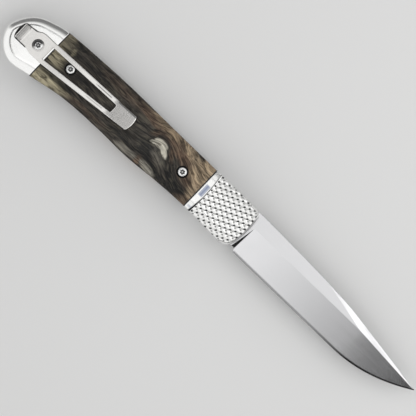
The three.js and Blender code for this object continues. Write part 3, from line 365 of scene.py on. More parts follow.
def new_piece(name, points, polygons, sharp=30.0):
    """Piece from points in the pivot frame and groups of faces with equal corner counts."""
    points = np.asarray(points, float).reshape(-1, 3)
    mesh = bpy.data.meshes.new(name)
    mesh.vertices.add(len(points))
    mesh.vertices.foreach_set("co", ((points + PIVOT) * 0.001).astype(np.float32).ravel())
    groups = [np.atleast_2d(np.asarray(p, int)) for p in polygons]
    corners = np.concatenate([p.ravel() for p in groups])
    counts = np.concatenate([np.full(len(p), p.shape[1]) for p in groups])
    mesh.loops.add(len(corners))
    mesh.loops.foreach_set("vertex_index", corners)
    mesh.polygons.add(len(counts))
    mesh.polygons.foreach_set("loop_start", np.concatenate([[0], counts.cumsum()[:-1]]))
    mesh.polygons.foreach_set("loop_total", counts)
    mesh.update(calc_edges=True)
    mesh.validate()
    piece = bpy.data.objects.new(name, mesh)
    bpy.context.scene.collection.objects.link(piece)
    tidy_mesh(piece, sharp)
    return piece


def tidy_mesh(piece, sharp=30.0):
    """Merges doubles, turns the faces outwards, and shades smooth but for edges sharper than the angle."""
    form = bmesh.new()
    form.from_mesh(piece.data)
    bmesh.ops.remove_doubles(form, verts=form.verts, dist=MERGE_DISTANCE)
    bmesh.ops.recalc_face_normals(form, faces=form.faces)
    form.to_mesh(piece.data)
    form.free()
    piece.data.polygons.foreach_set("use_smooth", np.ones(len(piece.data.polygons), bool))
    piece.data.set_sharp_from_angle(angle=math.radians(sharp))


def stand_on(piece, level, sharp=30.0):
    """Carries the open border straight to a level and closes the face there."""
    form = bmesh.new()
    form.from_mesh(piece.data)
    bmesh.ops.remove_doubles(form, verts=form.verts, dist=MERGE_DISTANCE)
    border = [e for e in form.edges if e.is_boundary]
    made = bmesh.ops.extrude_edge_only(form, edges=border)["geom"]
    for vertex in made:
        if isinstance(vertex, bmesh.types.BMVert):
            vertex.co.z = (level + PIVOT[2]) * 0.001
    rim = [e for e in made if isinstance(e, bmesh.types.BMEdge) and e.is_boundary]
    bmesh.ops.edgeloop_fill(form, edges=rim)
    form.to_mesh(piece.data)
    form.free()
    tidy_mesh(piece, sharp)


def other_side(points):
    """Points mirrored to the other side of the blade's middle."""
    return points * np.array([1.0, 1.0, -1.0])


def cut_with(piece, cutters, sharp=30.0):
    """Takes the cutters out of a piece and removes them."""
    for cutter in cutters:
        cut = piece.modifiers.new("cut", "BOOLEAN")
        cut.operation = "DIFFERENCE"
        cut.solver = "EXACT"
        cut.object = cutter
    bpy.context.view_layer.update()
    done = bpy.data.meshes.new_from_object(piece.evaluated_get(bpy.context.evaluated_depsgraph_get()))
    piece.modifiers.clear()
    old = piece.data
    piece.data = done
    done.name = old.name
    bpy.data.meshes.remove(old)
    for cutter in cutters:
        bpy.data.objects.remove(cutter)
    piece.data.materials.clear()
    tidy_mesh(piece, sharp)


def turned_piece(name, middle, profile, sides, lobes=None, sharp=30.0):
    """Profile of [radius, level] turned about an upright axis; lobes gives each profile point's share of the
    six-lobed form, in which the radius grows and shrinks by a cosine of six times the angle."""
    profile = np.asarray(profile, float)
    share = np.zeros(len(profile)) if lobes is None else np.asarray(lobes, float)
    angle = np.linspace(0, 2 * np.pi, sides, endpoint=False)[:, None]
    radius = profile[:, 0] * (1 + LOBE_DEPTH * share * np.cos(6 * angle))
    x = middle[0] + radius * np.cos(angle)
    y = middle[1] + radius * np.sin(angle)
    z = np.broadcast_to(profile[:, 1], x.shape)
    points = np.stack([x, y, z], -1)
    return new_piece(name, points, [grid_quads(sides, len(profile), wrap=True)], sharp)


def plate(name, outline, low, high, edge):
    """Flat plate of a closed outline between two levels, with narrow chamfers: rings of the outline drawn in
    by the chamfer, full, full and drawn in again, closed by a face at each end."""
    outline = np.asarray(outline, float)
    ahead = np.roll(outline, -1, 0) - np.roll(outline, 1, 0)
    inward = np.stack([-ahead[:, 1], ahead[:, 0]], 1)
    inward /= np.maximum(np.hypot(*ahead.T), 1e-9)[:, None]
    area = (outline[:, 0] * np.roll(outline[:, 1], -1) - np.roll(outline[:, 0], -1) * outline[:, 1]).sum()
    inner = outline + inward * edge * np.sign(area)
    rings = [(inner, low), (outline, low + edge), (outline, high - edge), (inner, high)]
    points = np.concatenate([np.column_stack([ring, np.full(len(ring), z)]) for ring, z in rings])
    count = len(outline)
    walls = grid_quads(4, count)
    first = np.arange(3)[:, None] * count
    seam = first + [count - 1, 0, count, 2 * count - 1]
    caps = [np.arange(count)[::-1], 3 * count + np.arange(count)]
    return new_piece(name, points, [walls, seam, *caps])


def set_attribute(piece, name, values):
    """One value for each of the piece's points, for its material to read."""
    made = piece.data.attributes.new(name, "FLOAT", "POINT")
    made.data.foreach_set("value", np.asarray(values, np.float32).ravel())


def paint_shade(piece, amount):
    """Painted shade on the piece's points, from 0 to 1."""
    set_attribute(piece, "grime", np.clip(amount, 0, 1))


def recess_shade_mask(points, middle, below):
    """Mask of painted shade: one inside a screw's recess below a height, else zero. Heights count from the
    blade's middle.
    """
    near = np.hypot(points[:, 0] - middle[0], points[:, 1] - middle[1]) < COUNTERBORE + 0.05
    return (near & (np.abs(points[:, 2]) < below)).astype(float)


def towards_shade(points, middle):
    """Cosine of the angle, seen from a screw's middle, between a point and the shaded side of its recess."""
    return np.cos(np.arctan2(points[:, 1] - middle[1], points[:, 0] - middle[0]) - SHADED_SIDE)


def points_of(piece):
    """The piece's points, in millimetres in the pivot frame."""
    flat = np.empty(len(piece.data.vertices) * 3, np.float32)
    piece.data.vertices.foreach_get("co", flat)
    return flat.reshape(-1, 3).astype(float) * 1000 - PIVOT


def dress(piece, body, nodes, material):
    """Gives a piece its material and, if it has one, its body, and hides the CAD nodes that it stands for."""
    piece.data.materials.clear()
    piece.data.materials.append(material)
    if body:
        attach(piece, body)
    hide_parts(*nodes)


# Node trees

FLOAT = "NodeSocketFloat"
VECTOR = "NodeSocketVector"


def fill(tree, node, inputs):
    """Links the sockets among the values to the node's inputs, and sets the plain ones there."""
    for key, value in inputs.items():
        if isinstance(value, bpy.types.NodeSocket):
            tree.links.new(value, node.inputs[key])
        else:
            node.inputs[key].default_value = value
    return node


def add_node(tree, kind, inputs=None, **settings):
    """New node with its settings and inputs."""
    made = tree.nodes.new(kind)
    for key, value in settings.items():
        setattr(made, key, value)
    return fill(tree, made, inputs or {})


def calc(tree, operation, a, b=0.0, clamp=False):
    """Sum, product or the like of two values."""
    return add_node(tree, "ShaderNodeMath", {0: a, 1: b}, operation=operation, use_clamp=clamp).outputs[0]


def vectors(tree, operation, a, b=(0.0, 0.0, 0.0), output="Vector"):
    """Sum, product or the like of two vectors, part by part."""
    return add_node(tree, "ShaderNodeVectorMath", {0: a, 1: b}, operation=operation).outputs[output]


def parts_of(tree, vector):
    """A vector's parts, by the names X, Y and Z."""
    return add_node(tree, "ShaderNodeSeparateXYZ", {0: vector}).outputs


def vector_of(tree, **parts):
    """Vector with the given parts."""
    return add_node(tree, "ShaderNodeCombineXYZ", parts).outputs["Vector"]


def swung(tree, vector, angle):
    """Vector turned about Z."""
    return add_node(tree, "ShaderNodeVectorRotate", {"Vector": vector, "Angle": angle},
                    rotation_type="Z_AXIS").outputs["Vector"]


def attribute(tree, name):
    """Value of an attribute of the piece's points."""
    return add_node(tree, "ShaderNodeAttribute", attribute_name=name).outputs["Fac"]


def spread(tree, value, low, high, out_low=0.0, out_high=1.0, smooth=False):
    """Value carried from one range to another, clamped."""
    return add_node(tree, "ShaderNodeMapRange", {
        "Value": value, "From Min": low, "From Max": high, "To Min": out_low, "To Max": out_high,
    }, interpolation_type="SMOOTHSTEP" if smooth else "LINEAR").outputs["Result"]


def blend(tree, factor, a, b, kind="MIX"):
    """Mixes two colours."""
    made = add_node(tree, "ShaderNodeMix", {0: factor, 6: a, 7: b}, data_type="RGBA", blend_type=kind)
    return made.outputs[2]


def noise(tree, vector, scale, detail=4.0, roughness=0.5, distortion=0.0, output="Fac"):
    """Cloudy noise."""
    return add_node(tree, "ShaderNodeTexNoise", {
        "Vector": vector, "Scale": scale, "Detail": detail, "Roughness": roughness, "Distortion": distortion,
    }).outputs[output]


def stretched(tree, vector, scale, place=(0, 0, 0)):
    """Vector multiplied part by part, then moved."""
    return add_node(tree, "ShaderNodeMapping", {
        "Vector": vector, "Location": place, "Scale": scale,
    }).outputs["Vector"]


def node_group(name, inputs, outputs):
    """Empty shader group with named sockets. Inputs are (name, kind, default) and outputs (name, kind)."""
    tree = bpy.data.node_groups.new(name, "ShaderNodeTree")
    for label, kind, default in inputs:
        socket = tree.interface.new_socket(name=label, in_out="INPUT", socket_type=kind)
        if default is not None:
            socket.default_value = default
    for label, kind in outputs:
        tree.interface.new_socket(name=label, in_out="OUTPUT", socket_type=kind)
    return tree, tree.nodes.new("NodeGroupInput").outputs, tree.nodes.new("NodeGroupOutput")


def brushing_group():
    """Fine brushing: two noises stretched along a direction, one fine and one coarse."""
    tree, given, result = node_group("Brushing", [
        ("Millimetres", VECTOR, None), ("Turn", FLOAT, 0.0), ("Across", FLOAT, 6.0), ("Along", FLOAT, 0.12),
    ], [("Grain", FLOAT), ("Streak", FLOAT)])
    scale = vector_of(tree, X=given["Along"], Y=given["Across"], Z=given["Across"])
    lines = vectors(tree, "MULTIPLY", swung(tree, given["Millimetres"], given["Turn"]), scale)
    fine = noise(tree, lines, 1.0, 3.0, 0.6)
    coarse = noise(tree, lines, 0.23, 3.0, 0.55)
    fill(tree, result, {"Grain": fine, "Streak": coarse})
    return tree


def hairlines_group():
    """Sparse hairlines: thin level lines of a long noise, shown only where a second noise is high."""
    tree, given, result = node_group("Hairlines", [
        ("Millimetres", VECTOR, None), ("Turn", FLOAT, 0.0), ("Density", FLOAT, 0.5),
    ], [("Mask", FLOAT)])
    lines = stretched(tree, swung(tree, given["Millimetres"], given["Turn"]), (0.05, 1.1, 1.1))
    level = calc(tree, "ABSOLUTE", calc(tree, "SUBTRACT", noise(tree, lines, 2.2, 2.0, 0.4, 0.3), 0.5))
    thin = spread(tree, level, 0.006, 0.0)
    shown = spread(tree, noise(tree, given["Millimetres"], 0.35, 2.0), 0.62, 0.72)
    fill(tree, result, {"Mask": calc(tree, "MULTIPLY", calc(tree, "MULTIPLY", thin, shown), given["Density"])})
    return tree


def smudges_group():
    """Soft cloudy variation."""
    tree, given, result = node_group("Smudges", [
        ("Millimetres", VECTOR, None), ("Scale", FLOAT, 0.12),
    ], [("Cloud", FLOAT)])
    scaled = add_node(tree, "ShaderNodeVectorMath", {0: given["Millimetres"], "Scale": given["Scale"]},
                      operation="SCALE").outputs["Vector"]
    fill(tree, result, {"Cloud": spread(tree, noise(tree, scaled, 1.0, 4.0, 0.55, 0.4), 0.3, 0.7)})
    return tree


def patch_group():
    """Soft oval patch, turned about its middle: one inside and falling to zero round the oval's rim."""
    tree, given, result = node_group("Patch", [
        ("Millimetres", VECTOR, None), ("Centre", VECTOR, None), ("Reach", VECTOR, None), ("Turn", FLOAT, 0.0),
        ("Edge", FLOAT, 0.3),
    ], [("Mask", FLOAT)])
    moved = vectors(tree, "SUBTRACT", given["Millimetres"], given["Centre"])
    level = swung(tree, moved, calc(tree, "MULTIPLY", given["Turn"], -1.0))
    far = vectors(tree, "LENGTH", vectors(tree, "DIVIDE", level, given["Reach"]), output="Value")
    inner = calc(tree, "SUBTRACT", 1.0, given["Edge"])
    outer = calc(tree, "ADD", 1.0, given["Edge"])
    fill(tree, result, {"Mask": spread(tree, far, outer, inner, smooth=True)})
    return tree


GROUPS = {
    "Brushing": brushing_group, "Hairlines": hairlines_group, "Smudges": smudges_group, "Patch": patch_group,
}


def grouped(tree, name, output, **inputs):
    """Places a shared group with its values and gives one of its outputs."""
    group = bpy.data.node_groups.get(name) or GROUPS[name]()
    return add_node(tree, "ShaderNodeGroup", inputs, node_tree=group).outputs[output]


# Finishes

def new_material(name):
    """Empty material with its shader, and Object coordinates turned into millimetres in the pivot frame."""
    material = bpy.data.materials.new(name)
    material.use_nodes = True
    tree = material.node_tree
    tree.nodes.clear()
    shader = tree.nodes.new("ShaderNodeBsdfPrincipled")
    add_node(tree, "ShaderNodeOutputMaterial", {"Surface": shader.outputs["BSDF"]})
    place = tree.nodes.new("ShaderNodeTexCoord").outputs["Object"]
    return material, tree, shader, stretched(tree, place, (1000, 1000, 1000), tuple(-PIVOT))


def set_bump(tree, shader, height, distance, strength=1.0):
    """Fine relief, whose distance is in metres."""
    bump = add_node(tree, "ShaderNodeBump", {"Height": height, "Distance": distance, "Strength": strength})
    fill(tree, shader, {"Normal": bump.outputs["Normal"]})


def lay_over(tree, shader, mask, colour):
    """Puts a colour over the shader's own where the mask is one."""
    under = shader.inputs["Base Color"].links[0].from_socket
    fill(tree, shader, {"Base Color": blend(tree, mask, under, colour)})


def tinted(colour, share):
    """Colour times a share, no brighter than white."""
    return tuple(min(part * share, 1.0) for part in colour[:3]) + (1.0,)


# Brushed metal: shares of the fine and the coarse brushing; how much darker and lighter brushing makes it, and
# how much smoother and rougher brushing and clouds do; how rough painted shade makes it; its hairlines and the
# colour of its painted shade
FINE_SHARE, COARSE_SHARE = 0.6, 0.4
DARKER, LIGHTER = 0.12, 0.04
SMOOTHER, ROUGHER = 0.05, 0.07
CLOUD_SMOOTHER, CLOUD_ROUGHER = 0.02, 0.05
CLOUD_SCALE = 0.11
SHADE_ROUGHER = 0.15
HAIRLINE_TURN = 0.25
HAIRLINE_TINT = 0.72
HAIRLINE_DEPTH = 0.8
METAL_SHADE = (0.013, 0.013, 0.0135, 1)
# Colour of the painted shade along the liners' seam
SEAM_SHADE_COLOUR = (0.012, 0.012, 0.012, 1)


def brushed_metal(name, colour, roughness, turn=0.0, across=7.0, along=0.12, grain=0.5, hairlines=0.4,
                  bump=0.000004, clouds=1.0):
    """Brushed metal: brushing moves the tone and the roughness, clouds and hairlines break it up, and painted
    shade darkens it.
    """
    material, tree, shader, place = new_material(name)
    fine, coarse = (grouped(tree, "Brushing", output, Millimetres=place, Turn=turn, Across=across, Along=along)
                    for output in ("Grain", "Streak"))
    cloud = grouped(tree, "Smudges", "Cloud", Millimetres=place, Scale=CLOUD_SCALE)
    lines = grouped(tree, "Hairlines", "Mask", Millimetres=place, Turn=turn + HAIRLINE_TURN, Density=hairlines)
    fine_tone = calc(tree, "MULTIPLY", fine, FINE_SHARE)
    coarse_tone = calc(tree, "MULTIPLY", coarse, COARSE_SHARE)
    tone = spread(tree, calc(tree, "ADD", fine_tone, coarse_tone), 0.3, 0.7)
    base = blend(tree, tone, tinted(colour, 1 - DARKER * grain), tinted(colour, 1 + LIGHTER * grain))
    base = blend(tree, lines, base, tinted(colour, HAIRLINE_TINT))
    uneven = spread(tree, noise(tree, place, 3.0, 3.0, 0.6), 0.3, 0.6, 0.92, 1.0)
    # Painted shade, a little uneven, where the piece's shade attribute is high
    shade_mask = calc(tree, "MULTIPLY", attribute(tree, "grime"), uneven)
    rough = spread(tree, tone, 0, 1, roughness - SMOOTHER * grain, roughness + ROUGHER * grain)
    clouded = spread(tree, cloud, 0, 1, -CLOUD_SMOOTHER * clouds, CLOUD_ROUGHER * clouds)
    rough = calc(tree, "ADD", rough, clouded)
    shade_roughness = calc(tree, "MULTIPLY", calc(tree, "MAXIMUM", lines, shade_mask), SHADE_ROUGHER)
    fill(tree, shader, {
        "Base Color": blend(tree, shade_mask, base, METAL_SHADE), "Roughness": calc(tree, "ADD", rough, shade_roughness),
        "Metallic": 1.0,
    })
    set_bump(tree, shader, calc(tree, "SUBTRACT", fine, calc(tree, "MULTIPLY", lines, HAIRLINE_DEPTH)), bump)
    return material, tree, shader, place


def blade_material(colours):
    """Satin blade, brushed lengthwise. The honed edge is brushed across and darkened by painted shade, darkest
    to the tip.
    """
    metal = colours.blade_steel
    material, tree, shader, place = brushed_metal("Blade steel", metal, 0.18, across=9.0, along=0.1,
                                                  hairlines=0.0, bump=0.0000008, clouds=0.25)
    cross = grouped(tree, "Brushing", "Grain", Millimetres=place, Turn=1.45, Across=14.0, Along=0.8)
    forward = spread(tree, parts_of(tree, place)["X"], 45.0, 64.0)
    # Painted shade on the honed edge in place of its dark reflection, growing to near black towards the tip
    dark = blend(tree, cross, tinted(metal, 0.34), tinted(metal, 0.52))
    dark = blend(tree, forward, dark, tinted(metal, 0.02))
    lay_over(tree, shader, attribute(tree, "honed"), dark)
    return material


def liner_material(colours):
    """Liner steel, with painted shade along the seam between bolster and collar."""
    material, tree, shader, place = brushed_metal("Liner steel", colours.liner_steel, 0.34, across=11.0,
                                                  grain=0.7)
    centred = vectors(tree, "SUBTRACT", place, (SEAM - SEAM_RADIUS, 0, 0))
    far = vectors(tree, "LENGTH", vectors(tree, "MULTIPLY", centred, (1, 1, 0)), output="Value")
    away = calc(tree, "ABSOLUTE", calc(tree, "SUBTRACT", far, SEAM_RADIUS - 0.1))
    # Painted shade along the seam's arc
    lay_over(tree, shader, spread(tree, away, 1.2, 0.6), SEAM_SHADE_COLOUR)
    return material


# Bluish patches on the collar: middle and reach of each along it, and how far its middle line lies behind the
# pivot
BLUISH_PATCHES = ((1.75, 2.3), (-6.0, 0.7))
COLLAR_MIDDLE = -10.65


def collar_material(colours):
    """Polished collar with a soft bluish patch in its middle and a small one at the belly. Both lie on the clip
    side's face, and are a little stronger along the collar's middle line."""
    material, tree, shader, place = brushed_metal("Collar steel", tinted(colours.bolster_steel, 0.97), 0.24,
                                                  turn=1.57, across=5.0, along=0.2, hairlines=0.2)
    split = parts_of(tree, place)
    over = calc(tree, "ABSOLUTE", calc(tree, "SUBTRACT", split["X"], COLLAR_MIDDLE))
    bluish_patch = None
    for middle, reach in BLUISH_PATCHES:
        up = calc(tree, "ABSOLUTE", calc(tree, "SUBTRACT", split["Y"], middle))
        spot = spread(tree, up, reach + 0.35, reach - 0.35, smooth=True)
        bluish_patch = spot if bluish_patch is None else calc(tree, "MAXIMUM", bluish_patch, spot)
    bluish_patch = calc(tree, "MULTIPLY", bluish_patch, spread(tree, over, 1.0, 0.7, smooth=True))
    bluish_patch = calc(tree, "MULTIPLY", bluish_patch, spread(tree, over, 0.15, 0.45, 0.95, 0.75))
    bluish_patch = calc(tree, "MULTIPLY", bluish_patch, spread(tree, split["Z"], 4.5, 5.2))
    lay_over(tree, shader, bluish_patch, (*colours.bluish_patch, 1))
    return material


# Patches of the horn in the pivot frame. A group has its colour's name, how much of that colour shows between
# and on the fibres, and its ovals: middle and reach in millimetres, turn in degrees, rim share and strength.
# Later groups lie over earlier ones.
HORN_PATCHES = [
    ("horn_warm", 0.45, 1.3, [
        ((-39.5, 7.6), (9.0, 1.6), -6, 0.5, 0.75),
        ((-26.0, 6.2), (9.5, 2.2), -17, 0.5, 0.9),
        ((-35.6, 5.2), (2.4, 0.9), 50, 0.5, 0.6),
        ((-27.2, 3.2), (3.0, 0.8), -52, 0.5, 0.8),
        ((-17.0, 2.2), (4.4, 4.0), -30, 0.5, 0.85),
        ((-34.4, -6.8), (1.0, 1.8), 0, 0.5, 0.9),
        ((-53.0, 7.6), (12.0, 1.6), 0, 0.6, 0.35),
        ((-60.0, -6.6), (10.0, 1.0), 4, 0.6, 0.4),
        ((-13.5, -5.6), (3.4, 2.2), 0, 0.5, 0.8),
    ]),
    ("horn_olive", 0.8, 1.75, [
        ((-81.2, 6.4), (5.2, 5.2), 0, 0.25, 0.3),
        ((-80.7, 1.4), (6.2, 3.0), -24, 0.3, 0.8),
        ((-78.7, -8.4), (11.5, 2.3), 7, 0.35, 1.0),
        ((-75.1, 5.2), (0.8, 1.7), 0, 0.5, 0.5),
    ]),
    ("horn_tan", 0.42, 1.4, [
        ((-33.0, 9.2), (8.0, 1.7), -3, 0.5, 0.62),
        ((-31.0, 8.2), (2.2, 1.1), 30, 0.6, 0.75),
        ((-21.0, 7.7), (8.5, 1.5), -17, 0.45, 0.8),
        ((-14.6, 6.0), (4.4, 5.0), -40, 0.35, 1.0),
        ((-12.6, 0.8), (3.0, 4.6), 0, 0.4, 0.75),
        ((-12.4, -4.6), (2.2, 2.0), 0, 0.5, 0.12),
    ]),
    ("horn_black", 1.0, 1.6, [
        ((-35.8, -0.5), (3.6, 1.6), 4, 0.3, 1.0),
        ((-35.0, -2.6), (3.0, 1.3), 0, 0.35, 1.0),
        ((-41.8, -4.5), (7.4, 0.45), 2, 0.5, 1.0),
        ((-29.0, -4.6), (6.2, 0.5), -15, 0.5, 1.0),
        ((-19.5, -3.4), (5.4, 1.5), -14, 0.35, 0.95),
        ((-22.6, -5.7), (6.2, 1.2), -2, 0.4, 0.85),
        ((-75.4, 8.2), (2.0, 1.5), 0, 0.5, 0.8),
        ((-71.4, -5.9), (7.5, 0.9), 4, 0.4, 0.9),
        ((-57.7, -7.4), (6.0, 0.5), -3, 0.6, 0.7),
        ((-66.0, 6.5), (9.0, 3.0), 0, 0.8, 0.4),
        ((-68.0, 0.6), (7.0, 1.6), 6, 0.6, 0.5),
    ]),
    ("horn_cream", 0.68, 1.45, [
        ((-32.2, 3.0), (2.7, 1.5), 4, 0.16, 1.0),
        ((-30.3, 2.2), (3.2, 1.0), -36, 0.18, 1.0),
        ((-34.5, 2.1), (1.8, 0.6), 24, 0.2, 0.95),
        ((-39.6, -6.6), (4.6, 1.1), 5, 0.4, 0.25),
        ((-30.0, -6.4), (3.8, 1.2), -14, 0.35, 0.38),
        ((-30.6, -0.4), (4.0, 1.8), -24, 0.6, 0.1),
        ((-45.0, 0.5), (9.0, 5.0), 0, 0.8, 0.04),
    ]),
]

# Colour of the painted shade in the horn's screw recesses
HORN_SHADE = (0.002, 0.002, 0.002, 1)
PORE_TINT = (0.22, 0.2, 0.18, 1)
PATCH_DEPTH = 100.0


def grain_course(tree, laid):
    """Places that the grain is drawn at: pushed about by a slow noise, and moved across the scale so that the
    fibres rise behind the cream patch and fall in front of it."""
    drift = noise(tree, stretched(tree, laid, (0.06, 0.16, 0.16)), 1.0, 2.0, output="Color")
    pushed = vectors(tree, "MULTIPLY", vectors(tree, "SUBTRACT", drift, (0.5, 0.5, 0.5)), (5.0, 5.0, 4.0))
    split = parts_of(tree, laid)
    above = spread(tree, split["Y"], -1.0, 4.0, smooth=True)
    rise = calc(tree, "MULTIPLY", above, spread(tree, split["X"], -39.0, -31.5, 0.0, 2.0, smooth=True))
    swell = calc(tree, "SUBTRACT", rise, spread(tree, split["X"], -32.0, -12.0, 0.0, 6.5, smooth=True))
    lowered = vector_of(tree, Y=calc(tree, "MULTIPLY", swell, -1.0))
    return vectors(tree, "ADD", vectors(tree, "ADD", laid, pushed), lowered)


def add_patches(tree, colours, ground, threads, layout, calm):
    """Lays the patches over the ground, a little weaker between the fibres. Cream ones have calmer rims."""
    for key, between, upon, ovals in HORN_PATCHES:
        total = None
        for middle, reach, turn, edge, strength in ovals:
            mask = grouped(tree, "Patch", "Mask", Millimetres=calm if key == "horn_cream" else layout,
                           Centre=(*middle, 0.0), Reach=(*reach, PATCH_DEPTH), Turn=math.radians(turn),
                           Edge=edge)
            mask = calc(tree, "MULTIPLY", mask, strength)
            total = mask if total is None else calc(tree, "MAXIMUM", total, mask)
        total = calc(tree, "MULTIPLY", total, spread(tree, threads, 0, 1, 0.75, 1.0), clamp=True)
        colour = getattr(colours, key)
        shown = blend(tree, threads, tinted(colour, between), tinted(colour, upon))
        ground = blend(tree, total, ground, shown)
    return ground


def horn_material(name, colours, slide, flip):
    """Horn: dark fibres with olive, tan, red-brown, black and cream patches, whose rims are ragged along the
    fibres, dark pores and pale threads. It is slid along and flipped across, so that the scales differ."""
    material, tree, shader, place = new_material(name)
    laid = stretched(tree, place, (1.0, flip, 1.0), (slide, 0, 0))
    course = grain_course(tree, laid)
    fibre = noise(tree, stretched(tree, course, (0.16, 1.25, 1.0)), 1.0, 5.0, 0.68)
    strand = noise(tree, stretched(tree, course, (0.06, 0.45, 0.4)), 1.0, 3.0, 0.55)
    pore = noise(tree, stretched(tree, course, (0.2, 1.9, 1.6)), 1.0, 2.0, 0.6, 0.5)
    ragged = vector_of(tree, X=calc(tree, "MULTIPLY", calc(tree, "SUBTRACT", fibre, 0.5), 4.5),
                       Y=calc(tree, "MULTIPLY", calc(tree, "SUBTRACT", strand, 0.5), 2.0))
    flat = vectors(tree, "MULTIPLY", laid, (1, 1, 0))
    layout = vectors(tree, "ADD", flat, ragged)
    calm = add_node(tree, "ShaderNodeMix", {0: 0.6, 4: layout, 5: flat}, data_type="VECTOR").outputs[1]
    threads = calc(tree, "ADD", calc(tree, "MULTIPLY", fibre, 0.65), calc(tree, "MULTIPLY", strand, 0.35))
    threads = spread(tree, threads, 0.41, 0.61)
    ground = blend(tree, threads, (*colours.horn_dark, 1), (*colours.horn_brown, 1))
    ground = add_patches(tree, colours, ground, threads, layout, calm)
    pores = spread(tree, pore, 0.48, 0.38)
    ground = blend(tree, calc(tree, "MULTIPLY", pores, 0.8), ground, PORE_TINT, "MULTIPLY")
    ground = blend(tree, spread(tree, pore, 0.53, 0.65), ground, tinted(colours.horn_olive, 0.14), "ADD")
    # Painted shade darkens the horn inside the screw recesses
    fill(tree, shader, {
        "Base Color": blend(tree, attribute(tree, "grime"), ground, HORN_SHADE),
        "Roughness": spread(tree, threads, 0, 1, 0.5, 0.38), "Specular IOR Level": 0.2,
    })
    set_bump(tree, shader, calc(tree, "SUBTRACT", threads, calc(tree, "MULTIPLY", pores, 0.6)), 0.00003, 0.8)
    return material


def fibre_material(colours):
    """Pressed black fibre sheet: flecked, matt."""
    material, tree, shader, place = new_material("Black fibre")
    fleck = noise(tree, stretched(tree, place, (2.0, 5.0, 5.0)), 1.0, 5.0, 0.6)
    black = colours.fibre_black
    fill(tree, shader, {
        "Base Color": blend(tree, spread(tree, fleck, 0.35, 0.7), (*black, 1), tinted(black, 2.2)),
        "Roughness": spread(tree, fleck, 0.3, 0.7, 0.72, 0.55),
    })
    set_bump(tree, shader, fleck, 0.00002)
    return material


def floor_material(colours):
    """Plain pale floor, hardly mottled."""
    material, tree, shader, place = new_material("Floor")
    soft = noise(tree, place, 0.004, 3.0)
    pale = blend(tree, soft, tinted(colours.floor, 0.985), tinted(colours.floor, 1.0))
    fill(tree, shader, {"Base Color": pale, "Roughness": 0.8})
    return material


# Metals with nothing laid over them: title, colour, roughness and brushing
PLAIN_METALS = {
    "knurl": ("Knurled steel", "bolster_steel", 0.27, {"turn": 0.9, "along": 0.3, "hairlines": 0.2}),
    "bolster": ("Bolster steel", "bolster_steel", 0.16, {
        "turn": 0.1, "across": 6.0, "grain": 0.35, "hairlines": 0.1, "bump": 0.0000006,
    }),
    "clip": ("Clip steel", "clip_steel", 0.2, {
        "across": 8.0, "grain": 0.6, "hairlines": 0.3, "bump": 0.000001,
    }),
    "fitting": ("Fitting steel", "fitting_steel", 0.25, {"turn": 0.7, "across": 12.0, "along": 1.0}),
    "spring": ("Spring steel", "spring_steel", 0.4, {"across": 14.0, "along": 1.0}),
    "bronze": ("Bronze", "bronze", 0.38, {"turn": 0.4, "across": 8.0, "along": 0.5}),
}
HORNS = {"horn clip side": (0.0, 1.0), "horn show side": (14.0, -1.0)}
SPECIAL = {
    "blade": blade_material, "collar": collar_material, "liner": liner_material, "fibre": fibre_material,
    "floor": floor_material,
}
MADE = {}


def material_for(name, colours):
    """Each material is made once, when a piece first asks for it."""
    if name in MADE:
        return MADE[name]
    if name in PLAIN_METALS:
        title, colour, roughness, brushing = PLAIN_METALS[name]
        MADE[name] = brushed_metal(title, getattr(colours, colour), roughness, **brushing)[0]
    elif name in HORNS:
        MADE[name] = horn_material(name.capitalize(), colours, *HORNS[name])
    else:
        MADE[name] = SPECIAL[name](colours)
    return MADE[name]


# Pieces

# How crowded the points are at belly and back; where the even steps of a cover start; how far line spacers and
# collars are let down at their ends; top of the recess cutters; and how high the shade reaches in a recess
CROWDING = 0.88
COVER_START = 0.2
LINE_FALL = 0.02
COLLAR_FALL = 0.06
CUTTER_TOP = 20.0
RECESS_SHADE = 0.5


def edge_shares(count):
    """Shares from 0 to 1, closer together at both ends: a mix of even steps and a cosine."""
    even = np.linspace(0, 1, count)
    crowded = (1 - np.cos(np.pi * even)) / 2
    return mix(even, crowded, CROWDING)


def upright(x):
    """Line straight across the handle at x."""
    return lambda y: x + 0 * y


def stand_cover(name, sizes, points, side, sharp=30.0, gap=0.0):
    """Cover from the points of its face, turned to its side and carried down to a gap over the liner."""
    if side < 0:
        points = other_side(points)
    piece = new_piece(name, points, [grid_quads(*points.shape[:2])], sharp)
    stand_on(piece, (levels(sizes)[2] + gap) * side, sharp)
    return piece


def cover_piece(name, sizes, rear, front, columns, rows, side, fall=END_FALL):
    """Stretch of the covers between two lines across the handle. Points run from the rear line to the front
    one and from belly to back; the level is the rolled face, let down at both ends."""
    length = front(0.0) - rear(0.0)
    close = END_STEPS / length
    even = np.linspace(COVER_START / length, 1 - COVER_START / length, columns)
    u = np.unique(np.concatenate([close, even, 1 - close]))
    u, v = np.meshgrid(u, edge_shares(rows), indexing="ij")
    x = mix(rear(0.0), front(0.0), u)
    for _ in range(4):
        y = mix(belly_at(x), back_at(x), v)
        x = mix(rear(y), front(y), u)
    level = let_down(rolled_level(sizes, x, y)[0], np.minimum(u, 1 - u) * length, fall)
    return stand_cover(name, sizes, np.stack([x, y, level], -1), side)


def seam_line(y, gap, turned=False):
    """Place of the seam at a height: an arc bowed towards the tip, less a gap. The turned one is the same arc
    swung clockwise about the pivot by the release turn."""
    turn = RELEASE_TURN if turned else 0.0
    centre = SEAM - SEAM_RADIUS
    up = y + centre * math.sin(turn)
    return centre * math.cos(turn) + np.sqrt((SEAM_RADIUS - gap) ** 2 - up**2)


